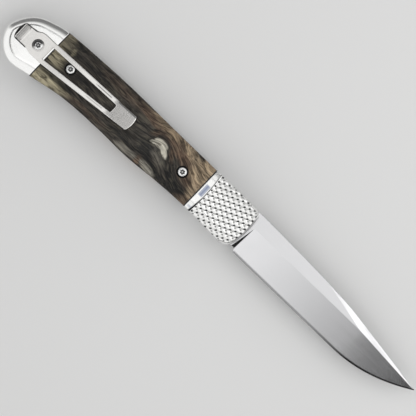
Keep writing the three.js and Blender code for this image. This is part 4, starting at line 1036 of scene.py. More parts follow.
def counterbore(middle, seat, side):
    """Cutter for a screw's recess: a cylinder that stands on the seat."""
    profile = [(0, seat), (COUNTERBORE, seat), (COUNTERBORE, CUTTER_TOP), (0, CUTTER_TOP)]
    return turned_piece("cutter", middle, np.array(profile) * (1, side), 72)


def length_property(name, description, default):
    """Size that a user would change."""
    return FloatProperty(name=name, description=description, default=default, unit="LENGTH")


def colour_property(name, description, default):
    """Colour that a user would change."""
    return FloatVectorProperty(name=name, description=description, default=default, subtype="COLOR",
                               min=0, max=1)


class KnifeSizes(bpy.types.PropertyGroup):
    """Sizes that a user would change."""

    blade_thickness: length_property("Blade thickness", "Thickness of the blade at the tang", 0.0029)
    liner_thickness: length_property("Liner thickness", "Thickness of each liner", 0.0012)
    cover_thickness: length_property("Cover thickness", "Thickness of scales and bolsters", 0.0028)
    roll_width: length_property("Roll width", "Width of the covers' rounded edge", 0.0044)
    roll_depth: length_property("Roll depth", "Fall of the covers' rounded edge", 0.0017)
    knurl_depth: length_property("Knurl depth", "Depth of the knurl's grooves", 0.00042)
    falling_pitch: length_property("Falling pitch", "Spacing of the grooves that fall to the tip", 0.00162)
    rising_pitch: length_property("Rising pitch", "Spacing of the grooves that rise to the tip", 0.00177)
    edge_bevel: length_property("Edge bevel", "Height of the honed edge", 0.00045)
    clip_thickness: length_property("Clip thickness", "Thickness of the pocket clip", 0.0012)
    head_radius: length_property("Screw head radius", "Radius of the visible screw heads", 0.0016)
    socket_radius: length_property("Socket radius", "Mean radius of the six-lobed sockets", 0.0008)


class KnifeColours(bpy.types.PropertyGroup):
    """Colours that a user would change."""

    blade_steel: colour_property("Blade steel", "Satin blade", (0.69, 0.69, 0.7))
    bolster_steel: colour_property("Bolster steel", "Polished bolsters", (0.97, 0.97, 0.955))
    liner_steel: colour_property("Liner steel", "Liners and spacer", (0.62, 0.62, 0.63))
    clip_steel: colour_property("Clip steel", "Pocket clip", (0.8, 0.785, 0.76))
    fitting_steel: colour_property("Fitting steel", "Screws, pins and barrel", (0.85, 0.85, 0.84))
    spring_steel: colour_property("Spring steel", "Springs and plunger", (0.4, 0.41, 0.43))
    bronze: colour_property("Bronze", "Washers", (0.62, 0.41, 0.2))
    horn_black: colour_property("Horn black", "Darkest horn", (0.005, 0.005, 0.0055))
    horn_dark: colour_property("Horn dark", "Dark horn", (0.010, 0.0095, 0.009))
    horn_brown: colour_property("Horn brown", "Brown fibres", (0.062, 0.053, 0.044))
    horn_warm: colour_property("Horn red-brown", "Red-brown bands", (0.125, 0.08, 0.053))
    horn_olive: colour_property("Horn olive", "Olive patches at the rear", (0.28, 0.25, 0.17))
    horn_tan: colour_property("Horn tan", "Tan patches", (0.42, 0.32, 0.21))
    horn_cream: colour_property("Horn cream", "Cream patches", (0.5, 0.475, 0.4))
    fibre_black: colour_property("Fibre black", "Line spacers", (0.008, 0.008, 0.008))
    bluish_patch: colour_property("Collar film", "Bluish film on the collar", (0.25, 0.29, 0.4))
    floor: colour_property("Floor", "Floor and backdrop", (0.78, 0.78, 0.775))


class KNIFE_OT_scales(bpy.types.Operator):
    """Horn scales with their screw recesses, line spacers and collars"""

    bl_idname = "knife.scales"
    bl_label = "Horn scales and collars"

    def execute(self, context):
        sizes, colours = context.scene.knife_sizes, context.scene.knife_colours
        gaps = (("rear", REAR_BOLSTER_FRONT, HORN_REAR), ("front", HORN_FRONT, COLLAR_REAR))
        for side, label in SIDES:
            self.scale(sizes, colours, side, label)
            for part, rear, front in gaps:
                line = cover_piece(f"line_{part}_{label}", sizes, upright(rear), upright(front), 5, 72, side,
                                   LINE_FALL)
                dress(line, "handle", [f"{part}_line_spacer_{label}"],
                      material_for("fibre", colours))
            self.collar(sizes, colours, side, label)
        return {"FINISHED"}

    def scale(self, sizes, colours, side, label):
        """Scale with two recesses, darkened inside by painted shade."""
        seat = scale_seat(sizes)
        piece = cover_piece(f"horn_{label}", sizes, upright(HORN_REAR), upright(HORN_FRONT), 230, 72, side)
        cut_with(piece, [counterbore(place, seat, side) for place in SCALE_SCREWS.values()])
        points = points_of(piece)
        # Painted shade inside both recesses
        paint_shade(piece, sum(recess_shade_mask(points, place, seat + RECESS_SHADE) for place in SCALE_SCREWS.values()))
        horn = material_for(f"horn {label.replace('_', ' ')}", colours)
        dress(piece, "handle", [f"scale_{label}"], horn)

    def collar(self, sizes, colours, side, label):
        """Collar with a painted shade line along the seam. The clip side's is cut back to clear the bolster's
        turn.
        """

        def seam(y):
            still = seam_line(y, SEAM_GAP)
            return np.minimum(still, seam_line(y, SEAM_GAP, True)) if side > 0 else still

        piece = cover_piece(f"collar_piece_{label}", sizes, upright(COLLAR_REAR), seam, 28, 96, side,
                            COLLAR_FALL)
        points = points_of(piece)
        # Painted shade along the seam
        paint_shade(piece, 0.7 * ease(0.3, 0.15, seam(points[:, 1]) - points[:, 0]))
        dress(piece, "handle", [f"collar_{label}"], material_for("collar", colours))


# Knurled bolsters: the patch's corners on the front end, where the walls stop over the liner, and the width of
# the painted shade line along the lip
FRONT_CORNERS = ((8.1, -5.6), (8.3, 8.9))
WALL_FOOT = 0.12
MARK_LINE = 0.11


def knurl_counts(sizes, x, y):
    """How many falling and how many rising grooves lie between the knurl's origin and a point."""
    dx, dy = x - KNURL_ORIGIN[0], y - KNURL_ORIGIN[1]
    falling = math.cos(FALLING_ANGLE) * dy - math.sin(FALLING_ANGLE) * dx
    rising = math.sin(RISING_ANGLE) * dx - math.cos(RISING_ANGLE) * dy
    return falling / (1000 * sizes.falling_pitch), rising / (1000 * sizes.rising_pitch)


def knurl_drop(sizes, x, y):
    """Depth shares of the knurl's two sets of V grooves: one in a groove's middle and zero past a quarter of
    the pitch."""
    margin = (1 - KNURL_TOP) / 2
    return [np.clip(1 - np.abs(count - np.round(count)) / margin, 0, 1) for count in knurl_counts(sizes, x, y)]


def knurl_ovals(sizes, x, y, shift, reach, turn):
    """Ovals on the net of crossings, moved by a shift: a point's offset from its nearest crossing is turned
    into the oval's directions and measured in its half lengths."""
    cross = math.sin(RISING_ANGLE - FALLING_ANGLE)
    falling, rising = knurl_counts(sizes, x - shift[0], y - shift[1])
    up = (falling - np.round(falling)) * 1000 * sizes.falling_pitch / cross
    down = (rising - np.round(rising)) * 1000 * sizes.rising_pitch / cross
    along = up * math.cos(RISING_ANGLE - turn) + down * math.cos(FALLING_ANGLE - turn)
    over = up * math.sin(RISING_ANGLE - turn) + down * math.sin(FALLING_ANGLE - turn)
    return ease(1.35, 0.65, np.hypot(along / reach[0], over / reach[1]))


class KNIFE_OT_knurled_bolsters(bpy.types.Operator):
    """Knurled front bolsters: the clip side's turns, the show side's is fixed"""

    bl_idname = "knife.knurled_bolsters"
    bl_label = "Knurled bolsters"

    def execute(self, context):
        sizes, colours = context.scene.knife_sizes, context.scene.knife_colours
        for side, label, node, body in (
            (1, "clip_side", "release_bolster", "release_bolster"),
            (-1, "show_side", "front_bolster_show_side", "handle"),
        ):
            piece = self.bolster(f"knurled_bolster_{label}", sizes, side)
            dress(piece, body, [node], material_for("knurl", colours))
        return {"FINISHED"}

    def bolster(self, name, sizes, side):
        """Face with a smooth lip in front and walls below its edges at the belly and the back. The grooves
        sink each of its points along the face's normal."""
        outer, face = levels(sizes)[2:]
        flat = self.patch(232, 205)
        x, y = flat[..., 0], flat[..., 1]
        level, slope, inward = rolled_level(sizes, x, y)
        to_front = distance_to(FRONT_END[::3], x, y)[0]
        lip = face - LIP_DEPTH * np.clip(1 - to_front / LIP_WIDTH, 0, 1)
        falling, rising = knurl_drop(sizes, x, y)
        deep = np.maximum(falling, 0.82 * rising) + 0.18 * falling * rising
        fade = ease(LIP_WIDTH + 0.02, LIP_WIDTH + 0.3, to_front) * ease(0.05, 0.35, x - seam_line(y, 0.0))
        drop = (KNURL_SKIM + (1000 * sizes.knurl_depth - KNURL_SKIM) * deep) * fade
        length = np.sqrt(1 + slope**2)
        sunk = flat + inward * (slope / length * drop)[..., None]
        top = np.dstack([sunk, np.minimum(level - drop / length, lip)])
        low, high = (self.wall(flat[:, edge], top[:, edge, 2], drop[:, edge], outer + WALL_FOOT, way)
                     for edge, way in ((0, 1.0), (-1, -1.0)))
        points = np.concatenate([low[:, ::-1], top, high], 1)
        piece = stand_cover(name, sizes, points, side, 40.0, RUNNING_GAP if side > 0 else 0.0)
        # Painted shade of the knurl's marks, lip and grooves
        paint_shade(piece, self.marks(points_of(piece), sizes))
        return piece

    def patch(self, columns, rows):
        """Places between four lines: seam, front end, belly and back. Each is the sum of the straight blends
        between opposite lines less the blend of the corners."""
        low_corner, high_corner = (int(np.hypot(*(FRONT_END - corner).T).argmin()) for corner in FRONT_CORNERS)
        u = np.linspace(0, 1, columns)[:, None, None]
        v = np.linspace(0, 1, rows)
        seam_y = mix(belly_at(SEAM), back_at(SEAM), v)
        for _ in range(3):
            seam_x = seam_line(seam_y, 0.0)
            seam_y = mix(belly_at(seam_x[0]), back_at(seam_x[-1]), v)
        left = np.stack([seam_x, seam_y], -1)
        right = spaced(FRONT_END[low_corner:high_corner + 1], rows)
        belly = SIDE[BUTT_INDEX:][SIDE[BUTT_INDEX:, 0] > left[0, 0]]
        low = spaced(np.vstack([left[:1], belly, FRONT_END[1:low_corner + 1]]), columns)
        back = SIDE[:BUTT_INDEX][SIDE[:BUTT_INDEX, 0] > left[-1, 0]][::-1]
        high = spaced(np.vstack([left[-1:], back, FRONT_END[high_corner:-1][::-1]]), columns)
        v = v[None, :, None]
        corners = mix(mix(left[0], right[0], u), mix(left[-1], right[-1], u), v)
        return mix(left, right, u) + mix(low[:, None], high[:, None], v) - corners

    def wall(self, line, top, drop, foot, way, steps=7):
        """Points below an edge of the face, in even steps down to the foot. They are pushed in by the grooves'
        depth times the share of the way that is left, to the power of one and a half."""
        share = np.linspace(0, 1, steps + 1)[1:]
        run = np.gradient(line, axis=0)
        inward = np.stack([-run[:, 1], run[:, 0]], -1) * way
        inward = inward / np.maximum(np.hypot(*inward.T), 1e-9)[:, None]
        push = drop[:, None] * (1 - share) ** 1.5
        places = line[:, None] + inward[:, None] * push[..., None]
        return np.dstack([places, mix(top[:, None], foot, share)])

    def marks(self, points, sizes):
        """Painted shade of the knurl: a strong dark oval where grooves cross and a weaker one beside it, both
        drawn out along the rising grooves; a thin dark line along the lip, the lip's shade towards the belly,
        and a faint shade in the grooves."""
        x, y = points[:, 0], points[:, 1]
        ovals = np.maximum(knurl_ovals(sizes, x, y, *STRONG_MARK), 0.6 * knurl_ovals(sizes, x, y, *WEAK_MARK))
        to_front = distance_to(FRONT_END[::3], x, y)[0]
        fade = ease(LIP_WIDTH - 0.1, LIP_WIDTH + 0.1, to_front) * ease(0.0, 0.2, x - seam_line(y, 0.0))
        line = np.exp(-((to_front - LIP_WIDTH) / MARK_LINE) ** 2) * mix(0.4, 0.9, ease(-1.0, -3.5, y))
        lip = ease(LIP_WIDTH, LIP_WIDTH - 0.1, to_front) * mix(0.1, 0.3, ease(0.0, -5.0, y))
        groove_shade = 0.1 * np.maximum(*knurl_drop(sizes, x, y))
        return np.maximum.reduce([ovals * fade, line, lip, groove_shade * fade])


# Rear bolsters: where the even steps of the outline start, how far from its ends its directions turn upright,
# and reach and drop of the middle line that the fan runs to; then the pocket's rear end, arch, front and room
RIM_START = 0.25
TURN_REACH = 4.0
FAN_REACH = 9.0
FAN_DROP = 1.6
POCKET_REAR = -93.0
POCKET_ARCH = 1.7
POCKET_FRONT = -88.55
POCKET_ROOM = ((-94.9, -5.3), (-88.0, 2.2))


class KNIFE_OT_rear_bolsters(bpy.types.Operator):
    """Rear bolsters, rounded at the butt, with the clip's pocket on the clip side"""

    bl_idname = "knife.rear_bolsters"
    bl_label = "Rear bolsters"

    def execute(self, context):
        sizes, colours = context.scene.knife_sizes, context.scene.knife_colours
        for side, label in SIDES:
            piece = self.bolster(f"rear_bolster_piece_{label}", sizes, side)
            if side > 0:
                cut_with(piece, [self.pocket(sizes)])
                # Painted shade on the floor of the clip's pocket
                points = points_of(piece)
                floor = levels(sizes)[3] - POCKET_DEPTH
                inside = ((points[:, :2] > POCKET_ROOM[0]) & (points[:, :2] < POCKET_ROOM[1])).all(1)
                paint_shade(piece, inside * (np.abs(points[:, 2] - floor) < 0.1))
            steel = material_for("bolster", colours)
            dress(piece, "handle", [f"rear_bolster_{label}"], steel)
        return {"FINISHED"}

    def bolster(self, name, sizes, side, columns=300):
        """Rings drawn in from the outline: even turns of the rim's quarter round, even steps to the end of
        the roll, then a fan in to a short middle line. The rings' directions turn upright towards the front
        end."""
        first, last = (int(np.argmin(np.abs(part - REAR_BOLSTER_FRONT)))
                       for part in (SIDE[:BUTT_INDEX, 0], SIDE[BUTT_INDEX:, 0]))
        line = SIDE[first:BUTT_INDEX + last + 1]
        end = run_of(line)[-1]
        even = np.linspace(RIM_START, end - RIM_START, columns)
        at = np.concatenate([END_STEPS, even, (end - END_STEPS)[::-1]])
        rim = points_along(line, at)
        rim[[0, -1], 0] = REAR_BOLSTER_FRONT
        middle_y = (back_at(REAR_BOLSTER_FRONT) + belly_at(REAR_BOLSTER_FRONT)) / 2
        run = np.gradient(rim, at, axis=0)
        inward = np.stack([-run[:, 1], run[:, 0]], -1)
        straight = np.stack([0 * at, -np.sign(rim[:, 1] - middle_y)], -1)
        inward = mix(straight, inward, ease(0, TURN_REACH, np.minimum(at, end - at))[:, None])
        inward /= np.hypot(*inward.T)[:, None]
        width = roll_width_at(sizes, rim[:, 0])[:, None]
        turn = np.linspace(0, np.pi / 2, 8)[:, None, None]
        depths = mix(RIM_RADIUS, width, np.linspace(0, 1, 26)[1:, None, None])
        rings = np.concatenate([rim + inward * RIM_RADIUS * (1 - np.cos(turn)), rim + inward * depths])
        fold = 1 - np.abs(2 * at / end - 1)
        core = np.stack([REAR_BOLSTER_FRONT - FAN_REACH * fold, middle_y - FAN_DROP * fold], -1)
        flat = np.concatenate([rings, mix(rings[-1], core, np.linspace(0, 1, 18)[1:, None, None])])
        x, y = flat[..., 0], flat[..., 1]
        level = let_down(rolled_level(sizes, x, y)[0], REAR_BOLSTER_FRONT - x)
        return stand_cover(name, sizes, np.dstack([flat, level]), side)

    def pocket(self, sizes):
        """Cutter for the pocket: an outline with an arched rear end, from the pocket's floor up."""
        face = levels(sizes)[3]
        arch = np.linspace(0, np.pi, 25)
        middle, half = (POCKET_LOW + POCKET_HIGH) / 2, (POCKET_HIGH - POCKET_LOW) / 2 + POCKET_GAP
        rear = np.stack([POCKET_REAR - POCKET_ARCH * np.sin(arch) ** 0.8, middle + half * np.cos(arch)], -1)
        front = [(POCKET_FRONT, POCKET_LOW - POCKET_GAP), (POCKET_FRONT, 2.1 + POCKET_GAP),
                 (-89.3, POCKET_HIGH + 0.4 + POCKET_GAP), (-91.0, POCKET_HIGH + 0.15 + POCKET_GAP)]
        return plate("cutter", np.vstack([rear, front]), face - POCKET_DEPTH, face + 5, 0.02)


# Clip: rounding of its foot, and of the free end's corners; start and depth of the free end's bow; rounding of
# the flare's start; most that a slope thickens it by, upwards; and the upper edge's shade along the handle
FOOT_ROUNDING = 0.25
END_ROUNDING = 0.3
END_START = 0.7
END_BOW = 0.62
FLARE_START = 0.6
SLOPE_LIMIT = 1.15
UPPER_SHADE = ([-88.5, -87.0, -81.8, -80.8], [0.85, 0.6, 0.5, 0.0])


class KNIFE_OT_pocket_clip(bpy.types.Operator):
    """Pocket clip with one long slot, a bent foot and a lifted free end"""

    bl_idname = "knife.pocket_clip"
    bl_label = "Pocket clip"

    def execute(self, context):
        sizes, colours = context.scene.knife_sizes, context.scene.knife_colours
        piece = self.clip("clip_piece", sizes)
        seat = clip_seat(sizes)
        cut_with(piece, [counterbore(CLIP_SCREW, seat, 1)], 24.0)
        # Painted shade and a painted dark reflection on the clip
        paint_shade(piece, self.shades(sizes, points_of(piece), seat))
        dress(piece, "handle", ["pocket_clip"], material_for("clip", colours))
        return {"FINISHED"}

    def shades(self, sizes, points, seat):
        """Painted shade in the screw's recess on its far side, along the outline over the bolster, in the foot's
        bends and on the grip's upper edge, and a painted dark reflection down the middle of the rails."""
        x, y = points[:, 0], points[:, 1]
        low, high = self.sides(x)
        far_side = ease(-0.5, 0.3, towards_shade(points, CLIP_SCREW))
        recess = recess_shade_mask(points, CLIP_SCREW, seat + RECESS_SHADE) * mix(0.1, 1.0, far_side)
        outline = ease(0.36, 0.2, high - y) * np.interp(x, *UPPER_SHADE)
        outline = np.maximum(outline, 0.8 * ease(0.3, 0.15, y - low) * ease(-88.3, -89.0, x))
        foot = np.maximum(0.8 * np.exp(-((x + 93.1) / 0.2) ** 2), 0.5 * np.exp(-((x + 91.6) / 0.14) ** 2))
        grip = 0.7 * ease(0.72, 0.55, high - y) * ease(-53.2, -52.2, x)
        grip = grip * ease(CLIP_TIP - 0.3, CLIP_TIP - 0.6, x)
        inside = ease(-63.0, -61.0, x) * ease(-54.9, -55.6, x)
        rails = inside * np.maximum(0.6 * ease(0.3, 0.12, np.abs(high - y - 0.85)),
                                    0.35 * ease(0.3, 0.12, np.abs(y - low - 0.95)))
        over = points[:, 2] > self.under(sizes, x) + 300 * sizes.clip_thickness
        return np.maximum(recess, over * np.maximum.reduce([outline, foot, grip, rails]))

    def under(self, sizes, x):
        """Level of the clip's underside: the foot on its pocket's floor, a smooth bend up to the cover, smooth
        steps up to the rails' bow and down to the grip, then a straight rise to the free end with a rounded
        start."""
        face = levels(sizes)[3]
        foot = face - POCKET_DEPTH + POCKET_DEPTH * ease(CLIP_BEND - 0.1, CLIP_RISEN + 0.1, x)
        settling = (CLIP_BOW - CLIP_STANDOFF) * ease(CLIP_GRIP - 12, CLIP_GRIP, x)
        bow = CLIP_BOW * ease(SLOT_REAR - 1.5, SLOT_REAR + 14, x) - settling
        past = x - CLIP_GRIP
        rise = CLIP_FLARE / (CLIP_TIP + 1 - CLIP_GRIP) * (past + np.hypot(past, FLARE_START)) / 2
        return foot + bow + rise * (x > SLOT_REAR)

    def sides(self, x):
        """Heights of the clip's lower and upper edges."""
        return np.interp(x, *CLIP_LOWER_EDGE), np.interp(x, *CLIP_UPPER_EDGE)

    def loops(self):
        """Outer edge and slot edge, point for point: along the lower rail, round the free end, back along the
        upper rail and round the foot."""
        rail = np.linspace(SLOT_REAR, SLOT_FRONT - SLOT_CORNER, 100)
        low, high = self.sides(rail)
        slot_low, slot_high = low + CLIP_RAIL, high - CLIP_RAIL
        outer_front, inner_front = self.free_end(slot_low[-1], slot_high[-1])
        outer_rear = self.foot_edge()
        slot_rear = np.array([[SLOT_REAR, slot_high[0]], [SLOT_REAR, slot_low[0]]])
        inner_rear = spaced(slot_rear, len(outer_rear) + 2)[1:-1]
        lower, upper = np.stack([rail, low], -1), np.stack([rail, high], -1)[::-1]
        slot_lower, slot_upper = np.stack([rail, slot_low], -1), np.stack([rail, slot_high], -1)[::-1]
        outer = np.vstack([lower, outer_front, upper, outer_rear])
        inner = np.vstack([slot_lower, inner_front, slot_upper, inner_rear])
        return outer, inner

    def free_end(self, slot_low, slot_high):
        """Outer edge round the bowed free end with its eased corners, and the slot's end with two quarter
        circles, point for point."""
        start = SLOT_FRONT - SLOT_CORNER
        bow = np.linspace(-1, 1, 41)
        low, high = self.sides(CLIP_TIP - END_START)
        corner = END_ROUNDING * np.clip((np.abs(bow) - 0.85) / 0.15, 0, 1) ** 2
        tip_x = CLIP_TIP - END_START + END_BOW * (1 - bow**2)
        end = np.stack([tip_x - corner, mix(low, high, (bow + 1) / 2)], -1)
        run = np.linspace(start, CLIP_TIP - 1.0, 26)[1:]
        low, high = self.sides(run)
        outer = np.vstack([np.stack([run, low], -1), end, np.stack([run, high], -1)[::-1]])
        angle = np.linspace(0, np.pi / 2, 12)
        sine, cosine = SLOT_CORNER * np.sin(angle), SLOT_CORNER * np.cos(angle)
        arc_low = np.stack([start + sine, slot_low + SLOT_CORNER - cosine], -1)
        arc_high = np.stack([start + cosine, slot_high - SLOT_CORNER + sine], -1)
        return outer, spaced(np.vstack([arc_low, arc_high]), len(outer) + 2)[1:-1]

    def foot_edge(self):
        """Outer edge back along the upper side, round the foot and forward along the lower side."""
        front = CLIP_REAR + FOOT_ROUNDING
        back = np.linspace(SLOT_REAR, front, 58)[1:]
        low, high = self.sides(back)
        across = np.linspace(-1, 1, 27)
        corner = np.clip((np.abs(across) - 0.86) / 0.14, 0, 1) ** 2
        rear = np.stack([front - FOOT_ROUNDING * (1 - corner), np.linspace(high[-1], low[-1], 27)], -1)
        return np.vstack([np.stack([back, high], -1), rear[1:-1], np.stack([back, low], -1)[::-1]])

    def clip(self, name, sizes, rows=34):
        """Closed band round the slot. Across it the points go over the top from the outer edge to the slot,
        with a chamfer at both, and back underneath."""
        outer, inner = self.loops()
        chamfer = CLIP_EDGE / np.hypot(*(inner - outer).T)[:, None]
        across = mix(chamfer, 1 - chamfer, np.linspace(0, 1, rows))
        share = np.concatenate([0 * chamfer, 0.35 * chamfer, across, 1 - 0.35 * chamfer, 1 + 0 * chamfer], 1)
        drop = CLIP_EDGE * np.array([0.8, 0.3, *np.zeros(rows), 0.3, 0.8])
        flat = mix(outer[:, None], inner[:, None], share[..., None])
        x = flat[..., 0]
        low = self.under(sizes, x)
        slope = (self.under(sizes, x + 0.05) - self.under(sizes, x - 0.05)) / 0.1
        top = low + 1000 * sizes.clip_thickness * np.minimum(np.sqrt(1 + slope**2), SLOPE_LIMIT) - drop
        ring = np.concatenate([np.dstack([flat, top]), np.dstack([flat, low])[:, ::-1]], 1)
        points = ring.transpose(1, 0, 2)
        points = np.concatenate([points, points[:, :1]], 1)
        return new_piece(name, points, [grid_quads(*points.shape[:2], wrap=True)], 24.0)


# Screws: the socket from its middle out, as share of the socket's radius, depth and share of the lobes; the
# dome's fall and its steps; the level of the shank's end; and the shade of the clip's screw
SOCKET_PROFILE = (
    (0, 0.62, 0), (0.35, 0.6, 0.3), (0.9, 0.5, 1), (0.98, 0.12, 1), (1.02, 0.07, 0.95), (1.12, 0.01, 0.6),
)
DOME_FALL = 0.05
DOME_STEPS = ((0, 0.2), (0.25, 0), (0.5, 0), (0.75, 0))
SHANK_END = 1.9
CLIP_SCREW_SHADE = 0.95


class KNIFE_OT_screws(bpy.types.Operator):
    """Button-headed screws with six-lobed sockets"""

    bl_idname = "knife.screws"
    bl_label = "Screws"

    def execute(self, context):
        sizes, colours = context.scene.knife_sizes, context.scene.knife_colours
        rows = [("clip", CLIP_SCREW, clip_seat(sizes), 1, "clip_screw", CLIP_SCREW_SHADE)]
        for part, place in SCALE_SCREWS.items():
            rows += [(f"{part}_{label}", place, scale_seat(sizes), side, f"scale_screw_{part}_{label}", 0.0)
                     for side, label in SIDES]
        for name, place, seat, side, node, shade in rows:
            piece = self.screw(f"screw_{name}", sizes, place, seat, side, shade)
            dress(piece, "handle", [node], material_for("fitting", colours))
        return {"FINISHED"}

    def screw(self, name, sizes, place, seat, side, shade):
        """Turned head: lobed socket floor, wall and chamfer, then a low dome, a rounded rim and the shank. Its
        socket and the foot of its head are darkened by painted shade, and so can be its rim on the side that
        lies under the recess's wall."""
        head, socket = 1000 * sizes.head_radius, 1000 * sizes.socket_radius
        top = seat + HEAD_THICKNESS
        flat_end = head - HEAD_ROUNDING
        rows = [(socket * share, top - depth, lobe) for share, depth, lobe in SOCKET_PROFILE]
        rows += [(mix(socket * 1.2, flat_end, s), top - DOME_FALL * s**2, lobe) for s, lobe in DOME_STEPS]
        rim = top - DOME_FALL - HEAD_ROUNDING
        rows += [(flat_end + HEAD_ROUNDING * math.sin(a), rim + HEAD_ROUNDING * math.cos(a), 0)
                 for a in np.linspace(0, np.pi / 2, 7)]
        rows += [(head, seat + 0.05, 0), (head - 0.05, seat, 0), (SHANK_RADIUS, seat, 0),
                 (SHANK_RADIUS, SHANK_END, 0), (0, SHANK_END, 0)]
        rows = np.array(rows)
        piece = turned_piece(name, place, rows[:, :2] * (1, side), 84, rows[:, 2], 35.0)
        points = points_of(piece)
        radius = np.hypot(points[:, 0] - place[0], points[:, 1] - place[1])
        level = np.abs(points[:, 2])
        # Painted shade: in the socket, round the head's foot on its seat, and on the rim's far side
        in_socket = ((radius < 1.2 * socket) & (level < top - 0.1)) * ease(0.0, 0.5 * socket, radius)
        foot = (radius > head - 0.02) * (level < seat + 0.2)
        far_side = shade * ease(0.8, 1.15, radius) * ease(-0.3, 0.3, towards_shade(points, place))
        paint_shade(piece, in_socket + foot + far_side)
        return piece


# Blade: least height of the point, angle of edges that stay sharp, slanting line under the tang (its ends and
# its fall per millimetre), the notch at the heel, the chamfer along the back and the step of close sections
LEAST_HEIGHT = 0.2
BLADE_SHARP = 3.0
SLANT = (3.0, 5.9, 0.898)
NOTCH = (
    [RICASSO_FRONT, 10.0, 10.2, 10.32, 10.42, 10.5, 10.62, 10.8],
    [-RICASSO_DROP, -5.36, -5.47, -5.65, -5.95, -6.3, -6.55, -6.78],
)
SPINE_CHAMFER = 0.1
CLOSE_STEP = 0.09


class KNIFE_OT_blade(bpy.types.Operator):
    """Blade with its tang, plunge, main bevel, swedge and honed edge"""

    bl_idname = "knife.blade"
    bl_label = "Blade"

    def execute(self, context):
        sizes, colours = context.scene.knife_sizes, context.scene.knife_colours
        half, bevel = 500 * sizes.blade_thickness, 1000 * sizes.edge_bevel
        piece = self.blade("blade_piece", bevel, half)
        bore = turned_piece("cutter", (0, 0), [(0, -9), (BARREL_HOLE, -9), (BARREL_HOLE, 9), (0, 9)], 72)
        cut_with(piece, [bore], BLADE_SHARP)
        x, y, level = points_of(piece).T
        set_attribute(piece, "honed", (y - self.edge_at(x) < bevel + 0.005) & (x > HEEL + 0.3))
        # Painted shade on the plunge's slope, in place of its dark reflection
        above = np.abs(level) - self.section_at(x, y, bevel, half)
        past = self.past_plunge(x, y)
        paint_shade(piece, 0.95 * ease(0.03, 0.2, past) * ease(0.0, 0.06, above) * (y < GRIND_HEIGHT))
        dress(piece, "blade", ["blade"], material_for("blade", colours))
        return {"FINISHED"}

    def spine_at(self, x):
        """Lower of two lines with a softened corner: one nearly level that bows down, and the clipped one."""
        along = np.maximum(x - HEEL, 0)
        level = SPINE_HEIGHT - SPINE_FALL * along - SPINE_BOW * along**2
        clipped = TIP_HEIGHT + LEAST_HEIGHT + POINT_FALL * (TIP - x)
        return (level + clipped) / 2 - np.hypot((level - clipped) / 2, SPINE_KNEE)

    def edge_at(self, x):
        """Nearly level edge, rising to the tip as a square past the start of the belly."""
        level = -mix(HEEL_DROP, EDGE_DROP, (x - HEEL) / (BELLY_START - HEEL))
        share = np.clip((x - BELLY_START) / (TIP - BELLY_START), 0, 1)
        return np.where(x < BELLY_START, level, -EDGE_DROP + (EDGE_DROP + TIP_HEIGHT) * share**2)

    def lines_at(self, x, bevel, half):
        """Heights of the blade's lines at x and the half thickness at each: spine, swedge, grind, shoulder and
        edge. Lines that would meet are kept apart."""
        spine = self.spine_at(x)
        edge = np.minimum(self.edge_at(x), spine - LEAST_HEIGHT)
        swedge = np.clip((x - SWEDGE_START) / (SWEDGE_END - SWEDGE_START), 0, 1)
        point = np.clip((x - SWEDGE_END) / (TIP - SWEDGE_END), 0, 1)
        grind = GRIND_HEIGHT - GRIND_FALL * (np.minimum(x, SWEDGE_END) - HEEL)
        ridge = mix(mix(self.spine_at(SWEDGE_START), grind, swedge), TIP_HEIGHT, point)
        height = spine - edge
        apart = LEAST_GAP * np.minimum(height, 1)
        upper = np.minimum(ridge, spine - apart)
        sinking = apart * ease(SWEDGE_END - 12, SWEDGE_END, x)
        lower = np.minimum(mix(grind, TIP_HEIGHT, point) - sinking, upper - apart)
        shoulder = edge + np.minimum(bevel, height * 0.35)
        lower = np.maximum(lower, shoulder + 0.02)
        thick = mix(half, EDGE_SHOULDER, point**1.4)
        top = np.minimum(mix(mix(half, SWEDGE_SPINE, swedge), EDGE_LAND * 2, point), thick)
        halves = [top, thick, thick, np.minimum(EDGE_SHOULDER, thick), np.full_like(x, EDGE_LAND)]
        return np.stack([spine, upper, lower, shoulder, edge]), np.stack(halves)

    def tang_at(self, x):
        """Height of the round tang at x."""
        return np.sqrt(np.maximum(TANG_RADIUS**2 - x**2, 0.01))

    def foot_at(self, x):
        """Lower end of the blade behind the heel: the round tang, the ricasso and the notch at the heel."""
        start, end, fall = SLANT
        slanting = np.where((x > start) & (x < end), -fall * x, 0)
        behind = np.where(x < end, np.minimum(-self.tang_at(x), slanting), -RICASSO_DROP)
        return np.where(x < RICASSO_FRONT, behind, np.maximum(np.interp(x, *NOTCH), self.edge_at(x)))

    def top_at(self, x):
        """Upper end of the tang: round behind the plunger's stop face, the spine in front of it."""
        return np.where(x < STOP_FACE, self.tang_at(x), self.spine_at(x))

    def stations(self):
        """Places of the sections, close together at the tang's round end, the plunge and the tip. One
        millimetre of them is spent on the plunge, so those past it count a millimetre more."""
        tip_run = TIP - 0.04 - SWEDGE_END
        return np.unique(np.concatenate([
            TANG_RADIUS * -np.cos(np.linspace(0.03, 1.1, 24)),
            [STOP_FACE - 0.0001, STOP_FACE + 0.0001],
            np.linspace(-2.4, 7.2, 26),
            np.arange(TANG_FRONT, PLUNGE_TOP - 0.02, CLOSE_STEP),
            np.linspace(0, 1, 14) + PLUNGE_TOP,
            np.arange(PLUNGE_TOP + 1.02, 14.9, CLOSE_STEP),
            np.linspace(15.1, SWEDGE_START + 1, 46),
            SWEDGE_START + 1 + (SWEDGE_END - SWEDGE_START) * np.linspace(0, 1, 40)[1:],
            SWEDGE_END + 1 + tip_run * (1 - (1 - np.linspace(0, 1, 80)[1:]) ** 1.35),
        ]))

